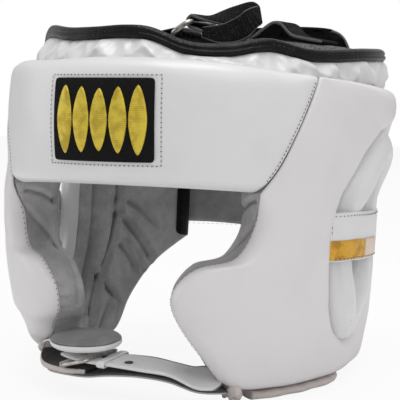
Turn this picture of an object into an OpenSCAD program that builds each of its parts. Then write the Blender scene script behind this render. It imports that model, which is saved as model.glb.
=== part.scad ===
// Boxing headguard: padded leather shell, crown strap, back closure and buckled chin strap.
// Millimetres. +Z up, the face looks along -Y, the wearer's left is +X.
// The origin is on the surface that it stands on, under the middle of the head opening.

/* [Head opening] */
// Half the width inside the lining at the temples
inner_half_w = 80; // [76:1:84]
// Half the depth inside the lining
inner_half_d = 100; // [96:1:104]
// Width at the bottom edge as a share of the width at the temples
jaw_share = 0.88; // [0.86:0.01:0.92]

/* [Padding] */
// Thickness of the brow and cheek pads
pad_t = 26; // [23:1:28]
// Thickness of the sides at their back edge
back_t = 14; // [12:1:16]
// Swell in the middle of each padded face
crown_h = 2.4; // [1:0.2:3]
// Rounding of the outer pad edges
edge_r = 8; // [6:0.5:9]
// Thickness of the leather and of the lining
skin_t = 1.2; // [0.9:0.1:1.4]
// Space between neighbouring soft pieces
gap = 0.3; // [0.25:0.01:0.4]

/* [Heights] */
// Height of the rolled hem along the bottom
hem_h = 5.2; // [4:0.2:6]
// Lower edge of the eye opening on the cheek
eye_low = 74; // [70:1:78]
// Lower edge of the brow pad at its ends
brow_low = 107.5; // [104:0.5:110]
// Top of the brow pad in the middle
brow_top = 174; // [170:1:178]
// Top of the side pads over the ear
side_top = 161; // [158:1:164]
// How far the fastened strap draws up the right cheek's lower corner
cheek_lift = 16; // [0:1:18]

/* [Ear] */
// Bottom of the ear hole
ear_low = 27; // [25:1:30]
// Top of the ear hole
ear_top = 138; // [135:1:140]
// Width and depth of the ear roll
roll_w = 20; // [17:1:21]
// Height of the band over the ear roll
band_h = 26; // [22:1:30]

/* [Chin strap] */
// Width of the chin strap
strap_w = 24; // [20:1:26]
// Thickness of the chin strap
strap_t = 1.8; // [1.6:0.1:2.2]
// Length of the pad over the buckle
chin_pad_l = 38; // [34:1:40]
// Diameter of the buckle's wire
wire_d = 1.9; // [1.6:0.1:2.2]

/* [Crown] */
// Height of the bound edge round the crown
binding_h = 7; // [6:0.5:8]
// Width of the crown strap
crown_strap_w = 28; // [22:1:32]
// Thickness of the crown strap
crown_strap_t = 2.2; // [1.6:0.2:2.6]

/* [Hidden] */

white = "whitesmoke";
suede = "dimgray";
black = "#1a1a1a";
gold = "goldenrod";
steel = "silver";
foam = "wheat";
$fn = 32;
wire_sides = 16;
core_in = skin_t + gap;
lining_r = 4;
hole_r = 7;
seam_r = 2;
// Angle of the sewn line between brow and side, at its bottom and top
seam_low_th = 41.5;
seam_top_th = 57;
seam_top_z = brow_top - 9;
// Angle of the sides' back edge
back_th = 144;

// Smooth step from 0 to 1
function fade(t) = let (u = min(max(t, 0), 1)) u * u * (3 - 2 * u);
function mix(a, b, f) = a + (b - a) * f;
// Smooth curve through [x, y] pairs
function slope(t, i) =
    i == 0 || i == len(t) - 1 ? 0 : (t[i + 1].y - t[i - 1].y) / (t[i + 1].x - t[i - 1].x);
function curve(x, t, i = 0) =
    x <= t[0].x ? t[0].y : i > len(t) - 2 ? t[len(t) - 1].y : x > t[i + 1].x ? curve(x, t, i + 1) :
    let (h = t[i + 1].x - t[i].x, u = (x - t[i].x) / h, v = 1 - u)
    v * v * (1 + 2 * u) * t[i].y + u * u * (1 + 2 * v) * t[i + 1].y
    + u * v * h * (v * slope(t, i) - u * slope(t, i + 1));

// The head surface: th is the angle from the front, off the distance out from the lining
function width_share(z) = curve(z, [[0, jaw_share], [55, 0.97], [105, 1], [160, 1], [190, 0.97]]);
function raise(th, z, lift) = lift * fade((72 - th) / 32) * fade((48 - z) / 36);
function wrap(th, z, off, lift = 0) =
    let (g = width_share(z), a = inner_half_w * g, b = inner_half_d * g,
         nx = sin(th) / a, ny = -cos(th) / b, n = norm([nx, ny]))
    [a * sin(th) + off * nx / n, -b * cos(th) + off * ny / n, z + raise(th, z, lift)];

// Faces of a grid of points with rows of k points, turned over where rev is set
function quad(a, b, c, d, rev) = rev ? [[a, c, b], [a, d, c]] : [[a, b, c], [a, c, d]];
function grid(rows, k, start, around, along, rev) =
    [for (i = [0 : rows - (along ? 1 : 2)], j = [0 : k - (around ? 1 : 2)])
        let (i2 = (i + 1) % rows, j2 = (j + 1) % k)
        each quad(start + i * k + j, start + i * k + j2, start + i2 * k + j2, start + i2 * k + j, rev)];
function flat(m) = [for (row = m) each row];

// Sheet between two grids of points, out and back; along joins the last row to the first
module sheet(out, back, along = false, rev = false) {
    n = len(out);
    k = len(out[0]);
    m = n * k;
    low = [for (i = [0 : n - (along ? 1 : 2)]) let (i2 = (i + 1) % n)
        each quad(i * k, i2 * k, m + i2 * k, m + i * k, rev)];
    high = [for (i = [0 : n - (along ? 1 : 2)]) let (i2 = (i + 1) % n)
        each quad(i * k + k - 1, i2 * k + k - 1, m + i2 * k + k - 1, m + i * k + k - 1, !rev)];
    ends = along ? [] : [for (j = [0 : k - 2])
        each concat(quad(j, j + 1, m + j + 1, m + j, !rev),
            quad((n - 1) * k + j, (n - 1) * k + j + 1, m + (n - 1) * k + j + 1, m + (n - 1) * k + j, rev))];
    polyhedron(concat(flat(out), flat(back)), concat(grid(n, k, 0, false, along, rev),
        grid(n, k, m, false, along, !rev), low, high, ends));
}

// Tube through closed rings of points
module tube(rings, along = false, rev = false) {
    n = len(rings);
    k = len(rings[0]);
    caps = along ? [] : [for (j = [1 : k - 2])
        each [rev ? [0, j, j + 1] : [0, j + 1, j],
            rev ? [(n - 1) * k, (n - 1) * k + j + 1, (n - 1) * k + j]
                : [(n - 1) * k, (n - 1) * k + j, (n - 1) * k + j + 1]]];
    polyhedron(flat(rings), concat(grid(n, k, 0, true, along, rev), caps));
}

// Table rows smoothed to two stations each; the last column marks a corner
function tangent(t, i) =
    let (n = len(t)) t[i][len(t[i]) - 1] > 0 ? 0 * t[i] : (t[(i + 1) % n] - t[(i + n - 1) % n]) / 2;
function smooth_loop(t) = [for (i = [0 : len(t) - 1]) let (n = len(t), j = (i + 1) % n)
    each [t[i], (t[i] + t[j]) / 2 + (tangent(t, i) - tangent(t, j)) / 8]];

// Ring round a pad, d inside its outside. Row: rim th, z, hole th, z, thickness at the hole and
// at the rim, rounding at the hole and at the rim, distance of its back from the head surface
function pad_ring(r, d, lift = 0, cut = 0) =
    let (q = [r[0], r[1]], p = [r[2], r[3]], tp = r[4], tq = r[5], rp = r[6], rq = r[7], s = sqrt(0.5),
         bend = min(lining_r, 0.8 * (min(tp, tq) - max(rp, rq))),
         wide = norm(wrap(q.x, q.y, tq / 2, lift) - wrap(p.x, p.y, tp / 2, lift)))
    [for (k = [[d, tp - rp - cut], [rp - (rp - d) * s, tp - rp + (rp - d) * s], [rp, tp - d],
        [wide / 3, mix(tp, tq, 1 / 3) - d + crown_h], [wide * 2 / 3, mix(tp, tq, 2 / 3) - d + crown_h],
        [wide - rq, tq - d], [wide - rq + (rq - d) * s, tq - rq + (rq - d) * s], [wide - d, tq - rq - cut],
        [wide - d, bend], [wide - bend, d], [wide * 2 / 3, d], [wide / 3, d], [bend, d], [d, bend]])
        wrap(mix(p.x, q.x, k.x / wide), mix(p.y, q.y, k.x / wide), k.y + r[8], lift)];
function part_of(ring, picks) = [for (k = picks) ring[k]];
over_face = [0, 1, 2, 3, 4, 5, 6, 7];
under_face = [7, 8, 9, 10, 11, 12, 13, 0];
inner_face = [0, 2, 3, 4, 5, 7, 9, 10, 11, 12];

module pad_cover(rows, lift = 0, along = false)
    sheet([for (r = rows) part_of(pad_ring(r, 0, lift), over_face)],
        [for (r = rows) part_of(pad_ring(r, skin_t, lift), over_face)], along, along);
module pad_lining(rows, lift = 0, along = false)
    sheet([for (r = rows) part_of(pad_ring(r, 0, lift, gap), under_face)],
        [for (r = rows) part_of(pad_ring(r, skin_t, lift, gap), under_face)], along, along);
module pad_foam(rows, lift = 0, along = false)
    tube([for (r = rows) part_of(pad_ring(r, core_in, lift), inner_face)], along, along);

// Brow pad, from seam to seam
brow_steps = 12;
seam_gap_th = 0.2;
brow_rows = [for (i = [0 : brow_steps]) let (f = mix(-1, 1, i / brow_steps))
    [f * (seam_top_th - seam_gap_th), brow_top - 9 * f * f,
     f * (seam_low_th - seam_gap_th), brow_low + 3.5 * (1 - f * f), pad_t, pad_t, edge_r, edge_r, 0, 0]];

// Side pad round its ear hole
pad_low = hem_h + gap;
side_rows = smooth_loop([
    [seam_top_th, seam_top_z, 87, ear_top - 2, 25, pad_t, hole_r, seam_r, 1],
    [mix(seam_low_th, seam_top_th, 0.5), mix(brow_low, seam_top_z, 0.5), 77, ear_top - 14,
        25, pad_t, hole_r, seam_r, 0],
    [seam_low_th, brow_low, 70.5, 106, 25, pad_t, hole_r, seam_r, 1],
    [42.5, mix(eye_low, brow_low, 0.55), 67.5, 89, 25, pad_t, hole_r, edge_r, 0],
    [37, eye_low + 1.5, 67, 76, 25, pad_t, hole_r, edge_r, 0],
    [26, eye_low - 3.5, 67, 68, 25, pad_t, hole_r, edge_r, 0],
    [19.5, eye_low - 15, 67.3, 61, 25, pad_t, hole_r, edge_r, 0],
    [20, 46, 68, 53, 25, pad_t, hole_r, edge_r, 0],
    [27, 26, 69.5, ear_low + 17, 24, pad_t, hole_r, edge_r, 0],
    [36, 8.5, 72.5, ear_low + 8, 23, 24, hole_r, edge_r, 0],
    [52, pad_low, 76, ear_low + 3, 22, 22, hole_r, edge_r, 0],
    [75, pad_low, 80, ear_low + 0.5, 20, 20, hole_r, 6, 0],
    [91, pad_low + 0.6, 85, ear_low + 2, 19, 19, hole_r, 6, 0],
    [102, 11, 88.5, ear_low + 8.5, 18, 18, hole_r, 6, 0],
    [112, 28, 91.5, ear_low + 16, 18, 18, hole_r, 6, 0],
    [127, 46, 95, ear_low + 31, 18, 16, hole_r, 5, 0],
    [back_th - 1, 63, 97, 77, 18, back_t, hole_r, 5, 1],
    [back_th, 100, 98.5, 98, 18, back_t, hole_r, 4, 0],
    [back_th, side_top - 5, 100.5, ear_top - 10, 18, back_t, hole_r, 5, 1],
    [118, side_top - 2, 97, ear_top - 1, 21, 19, hole_r, 6, 0],
    [88, side_top, 92, ear_top, 25, 25, hole_r, 7, 0]
]);
side_rows_flat = [for (r = side_rows) concat([for (k = [0 : 7]) r[k]], [0])];

// Ear roll: centre line as th, z, distance out, share of the roll's width
roll_path = smooth_loop([
    [73, 70, 15, 1, 0], [73.3, 88, 15, 1, 0], [77, 105.5, 15.5, 1, 0], [83.4, 119, 16.5, 1, 0],
    [90, ear_top - 11.3, 17, 1, 0], [95.3, 117, 15, 1, 0], [92.9, 98, 12, 0.97, 0],
    [91.3, 76, 10.5, 0.95, 0],
    [89.6, 60, 11, 0.92, 0], [85.8, 46.5, 11.5, 0.85, 0], [80.4, ear_low + 9.5, 12, 0.82, 0],
    [75.4, 51, 13.5, 0.88, 0]
]);
roll_gap = 0.5;
// Points of the roll's section from angle a to b, d inside its skin; 90 degrees points away from the head
function roll_arc(i, d, a, b, steps) =
    let (n = len(roll_path), p = roll_path[i], u = wrap(p.x, p.y, p.z),
         t0 = roll_path[(i + n - 1) % n], t1 = roll_path[(i + 1) % n],
         t = wrap(t1.x, t1.y, t1.z) - wrap(t0.x, t0.y, t0.z),
         out = wrap(p.x, p.y, p.z + 1) - u, across = cross(t, out) / norm(cross(t, out)))
    [for (j = [0 : steps]) let (w = mix(a, b, j / steps), r = p[3] * roll_w / 2 - d)
        u + across * r * cos(w) + out * r * sin(w)];
liner_half = 45;

function roll_grid(d, a, b, steps) = [for (i = [0 : len(roll_path) - 1]) roll_arc(i, d, a, b, steps)];
module ear_roll() sheet(roll_grid(0, liner_half - 90, 270 - liner_half, 6),
    roll_grid(skin_t, liner_half - 90, 270 - liner_half, 6), true);
module ear_liner() sheet(roll_grid(0, 273 - liner_half, 267 + liner_half, 2),
    roll_grid(skin_t, 273 - liner_half, 267 + liner_half, 2), true);
module ear_core() tube(roll_grid(core_in + roll_gap, 0, 300, 5), true);

// Band over the ear roll, and its stripe
band_low = 70;
band_off = [[67.2, 23], [73, 25.6], [79, 25.3], [88, 23], [94, 22.3], [100, 20.6], [110, 20]];
band_t = 1.8;
stripe_t = 0.8;
stripe_h = 11.5;
function band_at(th, z, off) = wrap(th, z, curve(th, band_off) + off);
function band_grid(ths, zs, off) = [for (th = ths) [for (z = zs) band_at(th, z, off)]];
band_ths = [for (i = [0 : 14]) mix(67.2, 109, i / 14)];
band_zs = [band_low, band_low + band_h];
stripe_ths = [for (i = [0 : 10]) mix(67.6, 96, i / 10)];
stripe_zs = [band_low + 1, band_low + stripe_h];
stripe_off = band_t + gap;
module ear_band() sheet(band_grid(band_ths, band_zs, band_t), band_grid(band_ths, band_zs, 0));
module ear_stripe() sheet(band_grid(stripe_ths, stripe_zs, stripe_off + stripe_t),
    band_grid(stripe_ths, stripe_zs, stripe_off));

// Rolled hem along the bottom of a side, flat where it stands
hem_section = [[6, 0], [17, 0], [19.5, 0.5], [17, 1], [6, 1], [3.5, 0.5]];
module hem(th0, lift) tube([for (i = [0 : 14]) let (th = mix(th0, 96, i / 14))
    [for (s = hem_section) wrap(th, s.y * hem_h, s.x, lift)]]);

// Woven patch on the brow
patch_half_th = 13.3;
patch_low = 124;
patch_h = 38.5;
patch_t = 1;
// Grid off the brow's padded face
function patch_grid(off) = [for (i = [0 : 8]) [for (j = [0 : 3])
    wrap(mix(-patch_half_th, patch_half_th, i / 8), patch_low + patch_h * j / 3, pad_t + crown_h + off)]];
module patch_sheet() sheet(patch_grid(gap + patch_t), patch_grid(gap));

// Upper back pad between the sides
back_pad_low = 112;
back_pad_rows = [for (i = [0 : 8]) let (th = mix(back_th + 0.4, 358.6 - back_th, i / 8))
    [th, side_top - 5, th, back_pad_low, back_t, back_t, 5, 5, 0, 0]];

// Back band, from the left side's back edge round to the outside of the right side
band_end_th = 242;
closure_low = 66;
closure_h = 42;
closure_t = 8;
patch_gap = gap + 0.1;
// Outside of the side pad behind the ear
function side_face(th) = lookup(th, [[102, 18.5], [mix(98, back_th, 1 / 3), 18 - (18 - back_t) / 3 + crown_h],
    [mix(98, back_th, 2 / 3), 18 - (18 - back_t) * 2 / 3 + crown_h], [back_th - 3, back_t]]);
closure_lift = 2 * patch_t + 2 * patch_gap + gap;
closure_base = concat([[146, 3], [196, 3]],
    [for (th = [222, 232, band_end_th]) [th, side_face(360 - th) + closure_lift]]);
closure_rows = [for (i = [0 : 14]) let (th = mix(back_th + 2, band_end_th, i / 14))
    [th, closure_low + closure_h, th, closure_low, closure_t - crown_h, closure_t - crown_h, 3.5, 3.5,
     curve(th, closure_base), 0]];
function patch_zs(inset) = [closure_low + inset, closure_low + closure_h - inset];
function hook_grid(off) = [for (i = [0 : 5]) let (th = mix(222, 240, i / 5))
    [for (z = patch_zs(6)) wrap(th, z, curve(th, closure_base) - off)]];
function loop_grid(off) = [for (i = [0 : 6]) let (th = mix(140, 116, i / 6))
    [for (z = patch_zs(4)) wrap(th, z, side_face(th) + off)]];
module hook_patch_sheet() sheet(hook_grid(patch_gap), hook_grid(patch_gap + patch_t));
module loop_patch_sheet() sheet(loop_grid(gap + patch_t), loop_grid(gap), rev = true);

// Crown: skirt, binding and panels
function turned(th) = th > 180 ? th - 360 : th;
function pad_top(th) = curve(abs(turned(th)), [[0, brow_top], [30, brow_top - 2.5], [seam_top_th, seam_top_z],
    [88, side_top], [118, side_top - 2], [back_th, side_top - 5]]);
binding_z = [[-180, 172], [-144, 172], [-112, 176], [-87, 178], [-66, 180], [-50, 186], [-12, 186],
    [0, 186.5], [9, 185.3], [21, 178.5], [34, 177.5], [48, 180.5], [63, 176], [87, 177.5], [112, 178],
    [144, 173], [180, 172]];
function binding_mid(th) = curve(turned(th), binding_z);
function binding_off(th) = curve(abs(turned(th)), [[0, 6], [50, 6], [88, 16], [120, 15], [150, 9], [180, 8]]);
ring_steps = 48;
crown_ths = [for (i = [0 : ring_steps - 1]) i * 360 / ring_steps];
binding_section = [for (w = [22.5 : 45 : 360]) [3 * cos(w), binding_h / 2 * sin(w)] / cos(22.5)];
skirt_foot = 14;
function skirt_mid(th) = mix(skirt_foot, binding_off(th), 0.5) + 1.2 + 0.8 * cos(th * 11);
function skirt_grid(d) = [for (th = crown_ths)
    let (z0 = pad_top(th) + gap, z1 = binding_mid(th) - binding_h / 2 - gap)
    [wrap(th, z0, skirt_foot - d), wrap(th, mix(z0, z1, 0.5), skirt_mid(th) - d),
     wrap(th, z1, binding_off(th) + 0.8 - d)]];
module skirt_sheet() sheet(skirt_grid(0), skirt_grid(skin_t), true);
module binding_tube() tube([for (th = crown_ths)
    [for (s = binding_section) wrap(th, binding_mid(th) + s.y, binding_off(th) + s.x)]], true);

// Point of the crown's dome, f running from its edge at 1 to the middle at 0
dome_top = 187.5;
panel_t = 1.6;
rear_top = 195;
rear_edge = 0.55;
function dome(th, f, up, rear = false) =
    let (e = wrap(th, 178, binding_off(th) - 3.4 - gap), u = (f - rear_edge) / (1 - rear_edge))
    [e.x * f, e.y * f,
     (rear ? mix(rear_top, binding_mid(th), u ^ 4) : mix(dome_top, binding_mid(th), f * f)) + up];
module crown_panel(th0, th1, f1, steps, rear = false) {
    ths = [for (i = [0 : steps]) mix(th0, th1, i / steps)];
    fs = [for (j = [0 : 5]) mix(1, f1, j / 5)];
    sheet([for (th = ths) [for (f = fs) dome(th, f, panel_t, rear)]],
        [for (th = ths) [for (f = fs) dome(th, f, 0, rear)]]);
}

// Ribbed elastic between the rear panel and the binding
function elastic_grid(t, rib) = [for (i = [0 : 4]) [for (j = [0 : 8])
    dome(mix(118, 135.5, i / 4), mix(1, 0.62, j / 8), t + rib * cos(180 * j))]];
module elastic_sheet() sheet(elastic_grid(panel_t, 0.5), elastic_grid(0, 0));

// Bound back edge of the right side
edge_rows = [for (r = side_rows_flat) if (r[0] > back_th - 0.6 && r[1] > 70 && r[1] < side_top - 4) r];
module edge_binding() sheet([for (r = edge_rows) part_of(pad_ring(r, -gap - skin_t), [5, 6, 7, 8, 9])],
    [for (r = edge_rows) part_of(pad_ring(r, -gap), [5, 6, 7, 8, 9])], rev = true);

// Straps: rows of x, y, z, slope of the width (front edge down) and width
function spot(path, i) = [path[i][0], path[i][1], path[i][2]];
function strap_dir(path, i) =
    let (d = spot(path, min(i + 1, len(path) - 1)) - spot(path, max(i - 1, 0))) d / norm(d);
function strap_row(path, up, i) =
    let (t = strap_dir(path, i), h = [-t.y, t.x] / norm([t.x, t.y]), a = path[i][3],
         s = [h.x * cos(a), h.y * cos(a), -sin(a)], n = cross(t, s) / norm(cross(t, s)))
    [for (k = [-0.5, -0.25, 0.25, 0.5]) spot(path, i) + n * up + s * path[i][4] * k];
module strap(path, t) sheet([for (i = [0 : len(path) - 1]) strap_row(path, t / 2, i)],
    [for (i = [0 : len(path) - 1]) strap_row(path, -t / 2, i)]);

// Chin strap, the shield under it and the tab from the wearer's right
shield_t = 1.4;
tab_t = 1.4;
strap_path = [[49.8, -81.8, 6.4, 14, 12], [48, -84.2, 7.4, 14, 20], [45, -87.3, 9, 14, strap_w],
    [38, -92, 12, 12, strap_w], [28, -96.3, 16, 8, strap_w], [15, -98.8, 19, 4, strap_w],
    [0, -100, 19.9, 3, strap_w], [-12, -99.5, 20, 3, strap_w], [-24, -97.5, 20, 3, strap_w],
    [-34, -94.5, 20, 3, strap_w - 4]];
shield_path = [[50.5, -80.5, 3, 6, 11], [46, -86.3, 5.2, 8, 20], [38, -91.8, 8.6, 8, 24],
    [28, -96.3, 12.4, 6, 24], [15, -98.8, 15, 4, 24], [0, -100, 14.8, 3, 24], [-12, -99.5, 12.9, 3, 24], [-24, -97.5, 12.4, 3, 24],
    [-34, -94.5, 12.4, 3, 24], [-41, -91.5, 12.8, 3, 18]];
tab_path = [[-54, -79.5, 22.2, 0, 11], [-53, -82.5, 19, -1, 14], [-49, -87, 15.8, -3, 19],
    [-43, -90.5, 14.3, -3, 23], [-34, -94.5, 14.1, -3, 24], [-24, -97.5, 14.1, -3, 24], [-14, -99.1, 14.3, -3, 20]];
chin_axis_left = [51, -81, 4];
chin_axis_right = [-54.5, -79.5, 21.5];

// The buckle's own frame: +X towards the strap's sewn end, Z off the strap, origin on the strap
buckle_at = [-24, -97.5, 20];
buckle_turn = [3, 0, -11];
module at_buckle() translate(buckle_at) rotate(buckle_turn) children();
heel_x = -3;
nose_x = 14;
fit_gap = 0.1;
loop_wall = 0.8;
loop_r = wire_d / 2 + 0.2 + loop_wall;
heel_z = -(strap_t / 2 + gap + loop_r);
nose_z = strap_t / 2 + gap + wire_d / 2;
frame_half_w = strap_w / 2 + 1 + wire_d / 2;
prong_d = 1.4;
prong_w = 2.4;
prong_top = nose_z + wire_d / 2 + fit_gap + prong_d / 2;
prong_line = [[heel_x + wire_d / 2 + fit_gap + 0.65, heel_z], [-0.6, -(strap_t / 2 + gap + prong_d / 2)],
    [0.9, -(strap_t / 2 + gap)], [3.1, strap_t / 2 + gap + 0.4], [5, prong_top - 0.3],
    [nose_x - 2, prong_top], [nose_x + 2, prong_top]];
link_l = norm([nose_x - heel_x, nose_z - heel_z]);
link_slope = atan2(nose_z - heel_z, nose_x - heel_x);
function line_side(line, i) =
    let (d = line[min(i + 1, len(line) - 1)] - line[max(i - 1, 0)]) [-d.y, d.x] / norm(d);
strap_hole_x = 1.6;
strap_hole_r = 2.6;
hole_pitch = 15;
module rod(a, b, d) translate(a)
    rotate([0, acos((b - a).z / norm(b - a)), atan2((b - a).y, (b - a).x)])
        cylinder(h = norm(b - a), d = d, $fn = wire_sides);
module bead(p, d) translate(p) sphere(d = d, $fn = wire_sides);
module cross_bar(x, z) rod([x, -frame_half_w, z], [x, frame_half_w, z], wire_d);

// Keeper round the strap
keeper_at = [-2.4, -99.9, 19.93];
keeper_turn = [3, 0, -2];
keeper_l = 6;
keeper_wall = 1;
keeper_room = 0.4;
keeper_add = 2 * (keeper_room + keeper_wall);

// Pad over the buckle, an oval cushion
chin_pad_w = 36;
chin_pad_t = 7.6;
chin_pad_seam = 4.2;
chin_pad_z = prong_top + prong_d / 2 + gap;
chin_pad_x = -1;
pad_profile = [[0, 0.8], [0.1, 0.93], [0.3, 1], [0.62, 1], [0.82, 0.9], [0.95, 0.62], [1, 0.25]];
pad_sides = 20;
module pad_body(d) tube([for (p = pad_profile) [for (i = [0 : pad_sides - 1]) let (w = i * 360 / pad_sides)
    [(chin_pad_l / 2 - d) * p.y * cos(w), (chin_pad_w / 2 - d) * p.y * sin(w), d + (chin_pad_t - 2 * d) * p.x]]], rev = true);
module at_chin_pad() at_buckle() translate([chin_pad_x, 0, chin_pad_z]) children();
tongue_path = [[-42, -91, 26, 4, 14], [-46, -88.2, 24.6, 4, 13], [-50.5, -85, 22.6, 4, 11]];

// Folded lump that holds the strap's left end
module anchor_lump() hull() {
    bead([57, -80.8, 4.2], 6);
    bead([50.5, -75.2, 4.2], 6);
}

// Crown strap: rows of its front edge and its back edge
crown_strap_y = 6;
function level(x, z) = [[x, crown_strap_y - crown_strap_w / 2, z], [x, crown_strap_y + crown_strap_w / 2, z]];
function row_mid(rows, i) = (rows[i][0] + rows[i][1]) / 2;
function row_normal(rows, i) =
    let (d = row_mid(rows, min(i + 1, len(rows) - 1)) - row_mid(rows, max(i - 1, 0)),
         n = cross(d, rows[i][1] - rows[i][0])) n / norm(n);
function row_points(rows, i, up) =
    [for (k = [0 : 3]) mix(rows[i][0], rows[i][1], k / 3) + row_normal(rows, i) * up];
module ribbon(rows, t) sheet([for (i = [0 : len(rows) - 1]) row_points(rows, i, t / 2)],
    [for (i = [0 : len(rows) - 1]) row_points(rows, i, -t / 2)]);
ring_x = -9;
ring_z = 193.5;
ring_wire = 3;
ring_l = 16;
ring_half_l = (ring_l - ring_wire) / 2;
ring_w = crown_strap_w + 4 + 2 * ring_wire;
ring_room = 0.5;
ring_wrap_r = ring_wire / 2 + ring_room + crown_strap_t / 2;
strap_rows = concat([level(70, 184.6), level(60, 186.4), level(52.5, 188.2), level(49, 191),
        level(45.5, 194.6),
        level(41, 195.6), level(36, 192.8), level(30, 188.6), level(24, 186.8), level(14, 186.4), level(4, 187.6),
        level(-4, 190)],
    [for (w = [270 : -30 : 90]) level(ring_x + ring_wrap_r * cos(w), ring_z + ring_wrap_r * sin(w))],
    [[[-3, -8, 197.4], [-3.5, 20, 200.4]], [[6, -4.5, 198.6], [3, 20.5, 205]], [[17, 7, 203], [11, 20, 208.4]],
        [[27, 11.5, 201.8], [19, 19, 209.2]], [[32.6, 8.6, 198.8], [25.5, 16.4, 207.6]],
        [[33.7, 5, 197.4], [27.7, 14.8, 206]]]);
tail_rows = [[[35, 1.4, 196.6], [30.3, 10.8, 205]], [[33.4, -2, 195.6], [29.5, 8, 204.8]],
    [[28.5, -8.5, 191.5], [26, 4, 204]], [[21, -11, 188.8], [19.5, 4.6, 200.6]],
    [[12, -10.8, 188.6], [11, 10, 197]], [[4, -9.8, 190.4], [4, 16.5, 193.6]], [[-2, -8.6, 192.2], [-2, 19, 192.6]]];
ring_tab_rows = concat([level(-46, 188.2), level(-38, 189.4), level(-32, ring_z - 2.6)],
    [for (w = [250 : 30 : 430])
        level(ring_x - 2 * ring_half_l + ring_wrap_r * cos(w), ring_z + ring_wrap_r * sin(w))],
    [level(-32, ring_z + 1), level(-38, 191.9), level(-46, 190.7)]);

module brow_cover() { color(white) pad_cover(brow_rows); }
module brow_foam() { color(foam) pad_foam(brow_rows); }
module brow_lining() { color(suede) pad_lining(brow_rows); }
module brow_patch() { color(black) patch_sheet(); }
module left_side_cover() { color(white) pad_cover(side_rows_flat, 0, true); }
module left_side_foam() { color(foam) pad_foam(side_rows_flat, 0, true); }
module left_side_lining() { color(suede) pad_lining(side_rows_flat, 0, true); }
module left_hem() { color("mistyrose") hem(44, 0); }
module right_side_cover() { color(white) mirror([1, 0, 0]) pad_cover(side_rows_flat, cheek_lift, true); }
module right_side_foam() { color(foam) mirror([1, 0, 0]) pad_foam(side_rows_flat, cheek_lift, true); }
module right_side_lining() { color(suede) mirror([1, 0, 0]) pad_lining(side_rows_flat, cheek_lift, true); }
module right_hem() { color("mistyrose") mirror([1, 0, 0]) hem(47, cheek_lift); }
module left_ear_roll() { color(white) ear_roll(); }
module left_ear_core() { color(foam) ear_core(); }
module left_ear_liner() { color(suede) ear_liner(); }
module left_ear_band() { color(white) ear_band(); }
module left_ear_stripe() { color(gold) ear_stripe(); }
module right_ear_roll() { color(white) mirror([1, 0, 0]) ear_roll(); }
module right_ear_core() { color(foam) mirror([1, 0, 0]) ear_core(); }
module right_ear_liner() { color(suede) mirror([1, 0, 0]) ear_liner(); }
module right_ear_band() { color(white) mirror([1, 0, 0]) ear_band(); }
module right_ear_stripe() { color(gold) mirror([1, 0, 0]) ear_stripe(); }
module back_pad_cover() { color(white) pad_cover(back_pad_rows); }
module back_pad_foam() { color(foam) pad_foam(back_pad_rows); }
module back_pad_lining() { color(suede) pad_lining(back_pad_rows); }
module right_edge_binding() { color(black) mirror([1, 0, 0]) edge_binding(); }
module back_band_cover() { color(white) pad_cover(closure_rows); }
module back_band_foam() { color(foam) pad_foam(closure_rows); }
module back_band_lining() { color(suede) pad_lining(closure_rows); }
module hook_patch() { color(black) hook_patch_sheet(); }
module loop_patch() { color(black) mirror([1, 0, 0]) loop_patch_sheet(); }
module crown_skirt() { color(white) skirt_sheet(); }
module crown_binding() { color(black) binding_tube(); }
module left_crown_panel() { color(black) crown_panel(58, 116, 0.45, 7); }
module right_crown_panel() { color(black) crown_panel(238, 302, 0.2, 8); }
module rear_crown_panel() { color(black) crown_panel(137, 230, rear_edge, 9, true); }
module crown_elastic() { color(black) elastic_sheet(); }
module crown_ring() {
    color(steel) translate([ring_x - ring_half_l, crown_strap_y, ring_z]) for (s = [-1, 1]) {
        rod([s * ring_half_l, -(ring_w + ring_wire) / 2, 0], [s * ring_half_l, (ring_w + ring_wire) / 2, 0],
            ring_wire);
        rod([-ring_half_l, s * ring_w / 2, 0], [ring_half_l, s * ring_w / 2, 0], ring_wire);
    }
}
module crown_ring_tab() { color(black) ribbon(ring_tab_rows, crown_strap_t); }
module crown_strap() { color(black) ribbon(strap_rows, crown_strap_t); }
module crown_strap_tail() { color(black) ribbon(tail_rows, crown_strap_t); }
module left_strap_anchor() { color("mistyrose") anchor_lump(); }
module chin_strap() {
    color(white) difference() {
        strap(strap_path, strap_t);
        at_buckle() for (k = [0 : 2]) translate([strap_hole_x + k * hole_pitch, 0, -4])
            cylinder(h = 8, r = strap_hole_r, $fn = wire_sides);
    }
}
module chin_shield() { color(suede) strap(shield_path, shield_t); }
module chin_tab() { color(white) strap(tab_path, tab_t); }
module buckle_loop() {
    color(white) at_buckle() for (s = [-1, 1]) translate([heel_x, s * (frame_half_w / 2 + 1), heel_z])
        rotate([90, 0, 0]) difference() {
            cylinder(h = frame_half_w - prong_w - 2.5, r = loop_r, center = true, $fn = wire_sides);
            cylinder(h = frame_half_w, r = loop_r - loop_wall, center = true, $fn = wire_sides);
        }
}
module link_outline(r) union() {
    translate([heel_x, heel_z]) circle(r = r);
    translate([nose_x, nose_z]) circle(r = r);
    translate([heel_x, heel_z]) rotate(link_slope) translate([0, -r]) square([link_l, 2 * r]);
}
module buckle_frame() {
    color(steel) at_buckle() {
        cross_bar(heel_x, heel_z);
        cross_bar(nose_x, nose_z);
        for (s = [-1, 1]) translate([0, s * frame_half_w + wire_d / 2, 0]) rotate([90, 0, 0])
            linear_extrude(wire_d) link_outline(wire_d / 2 + 0.15);
    }
}
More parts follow.
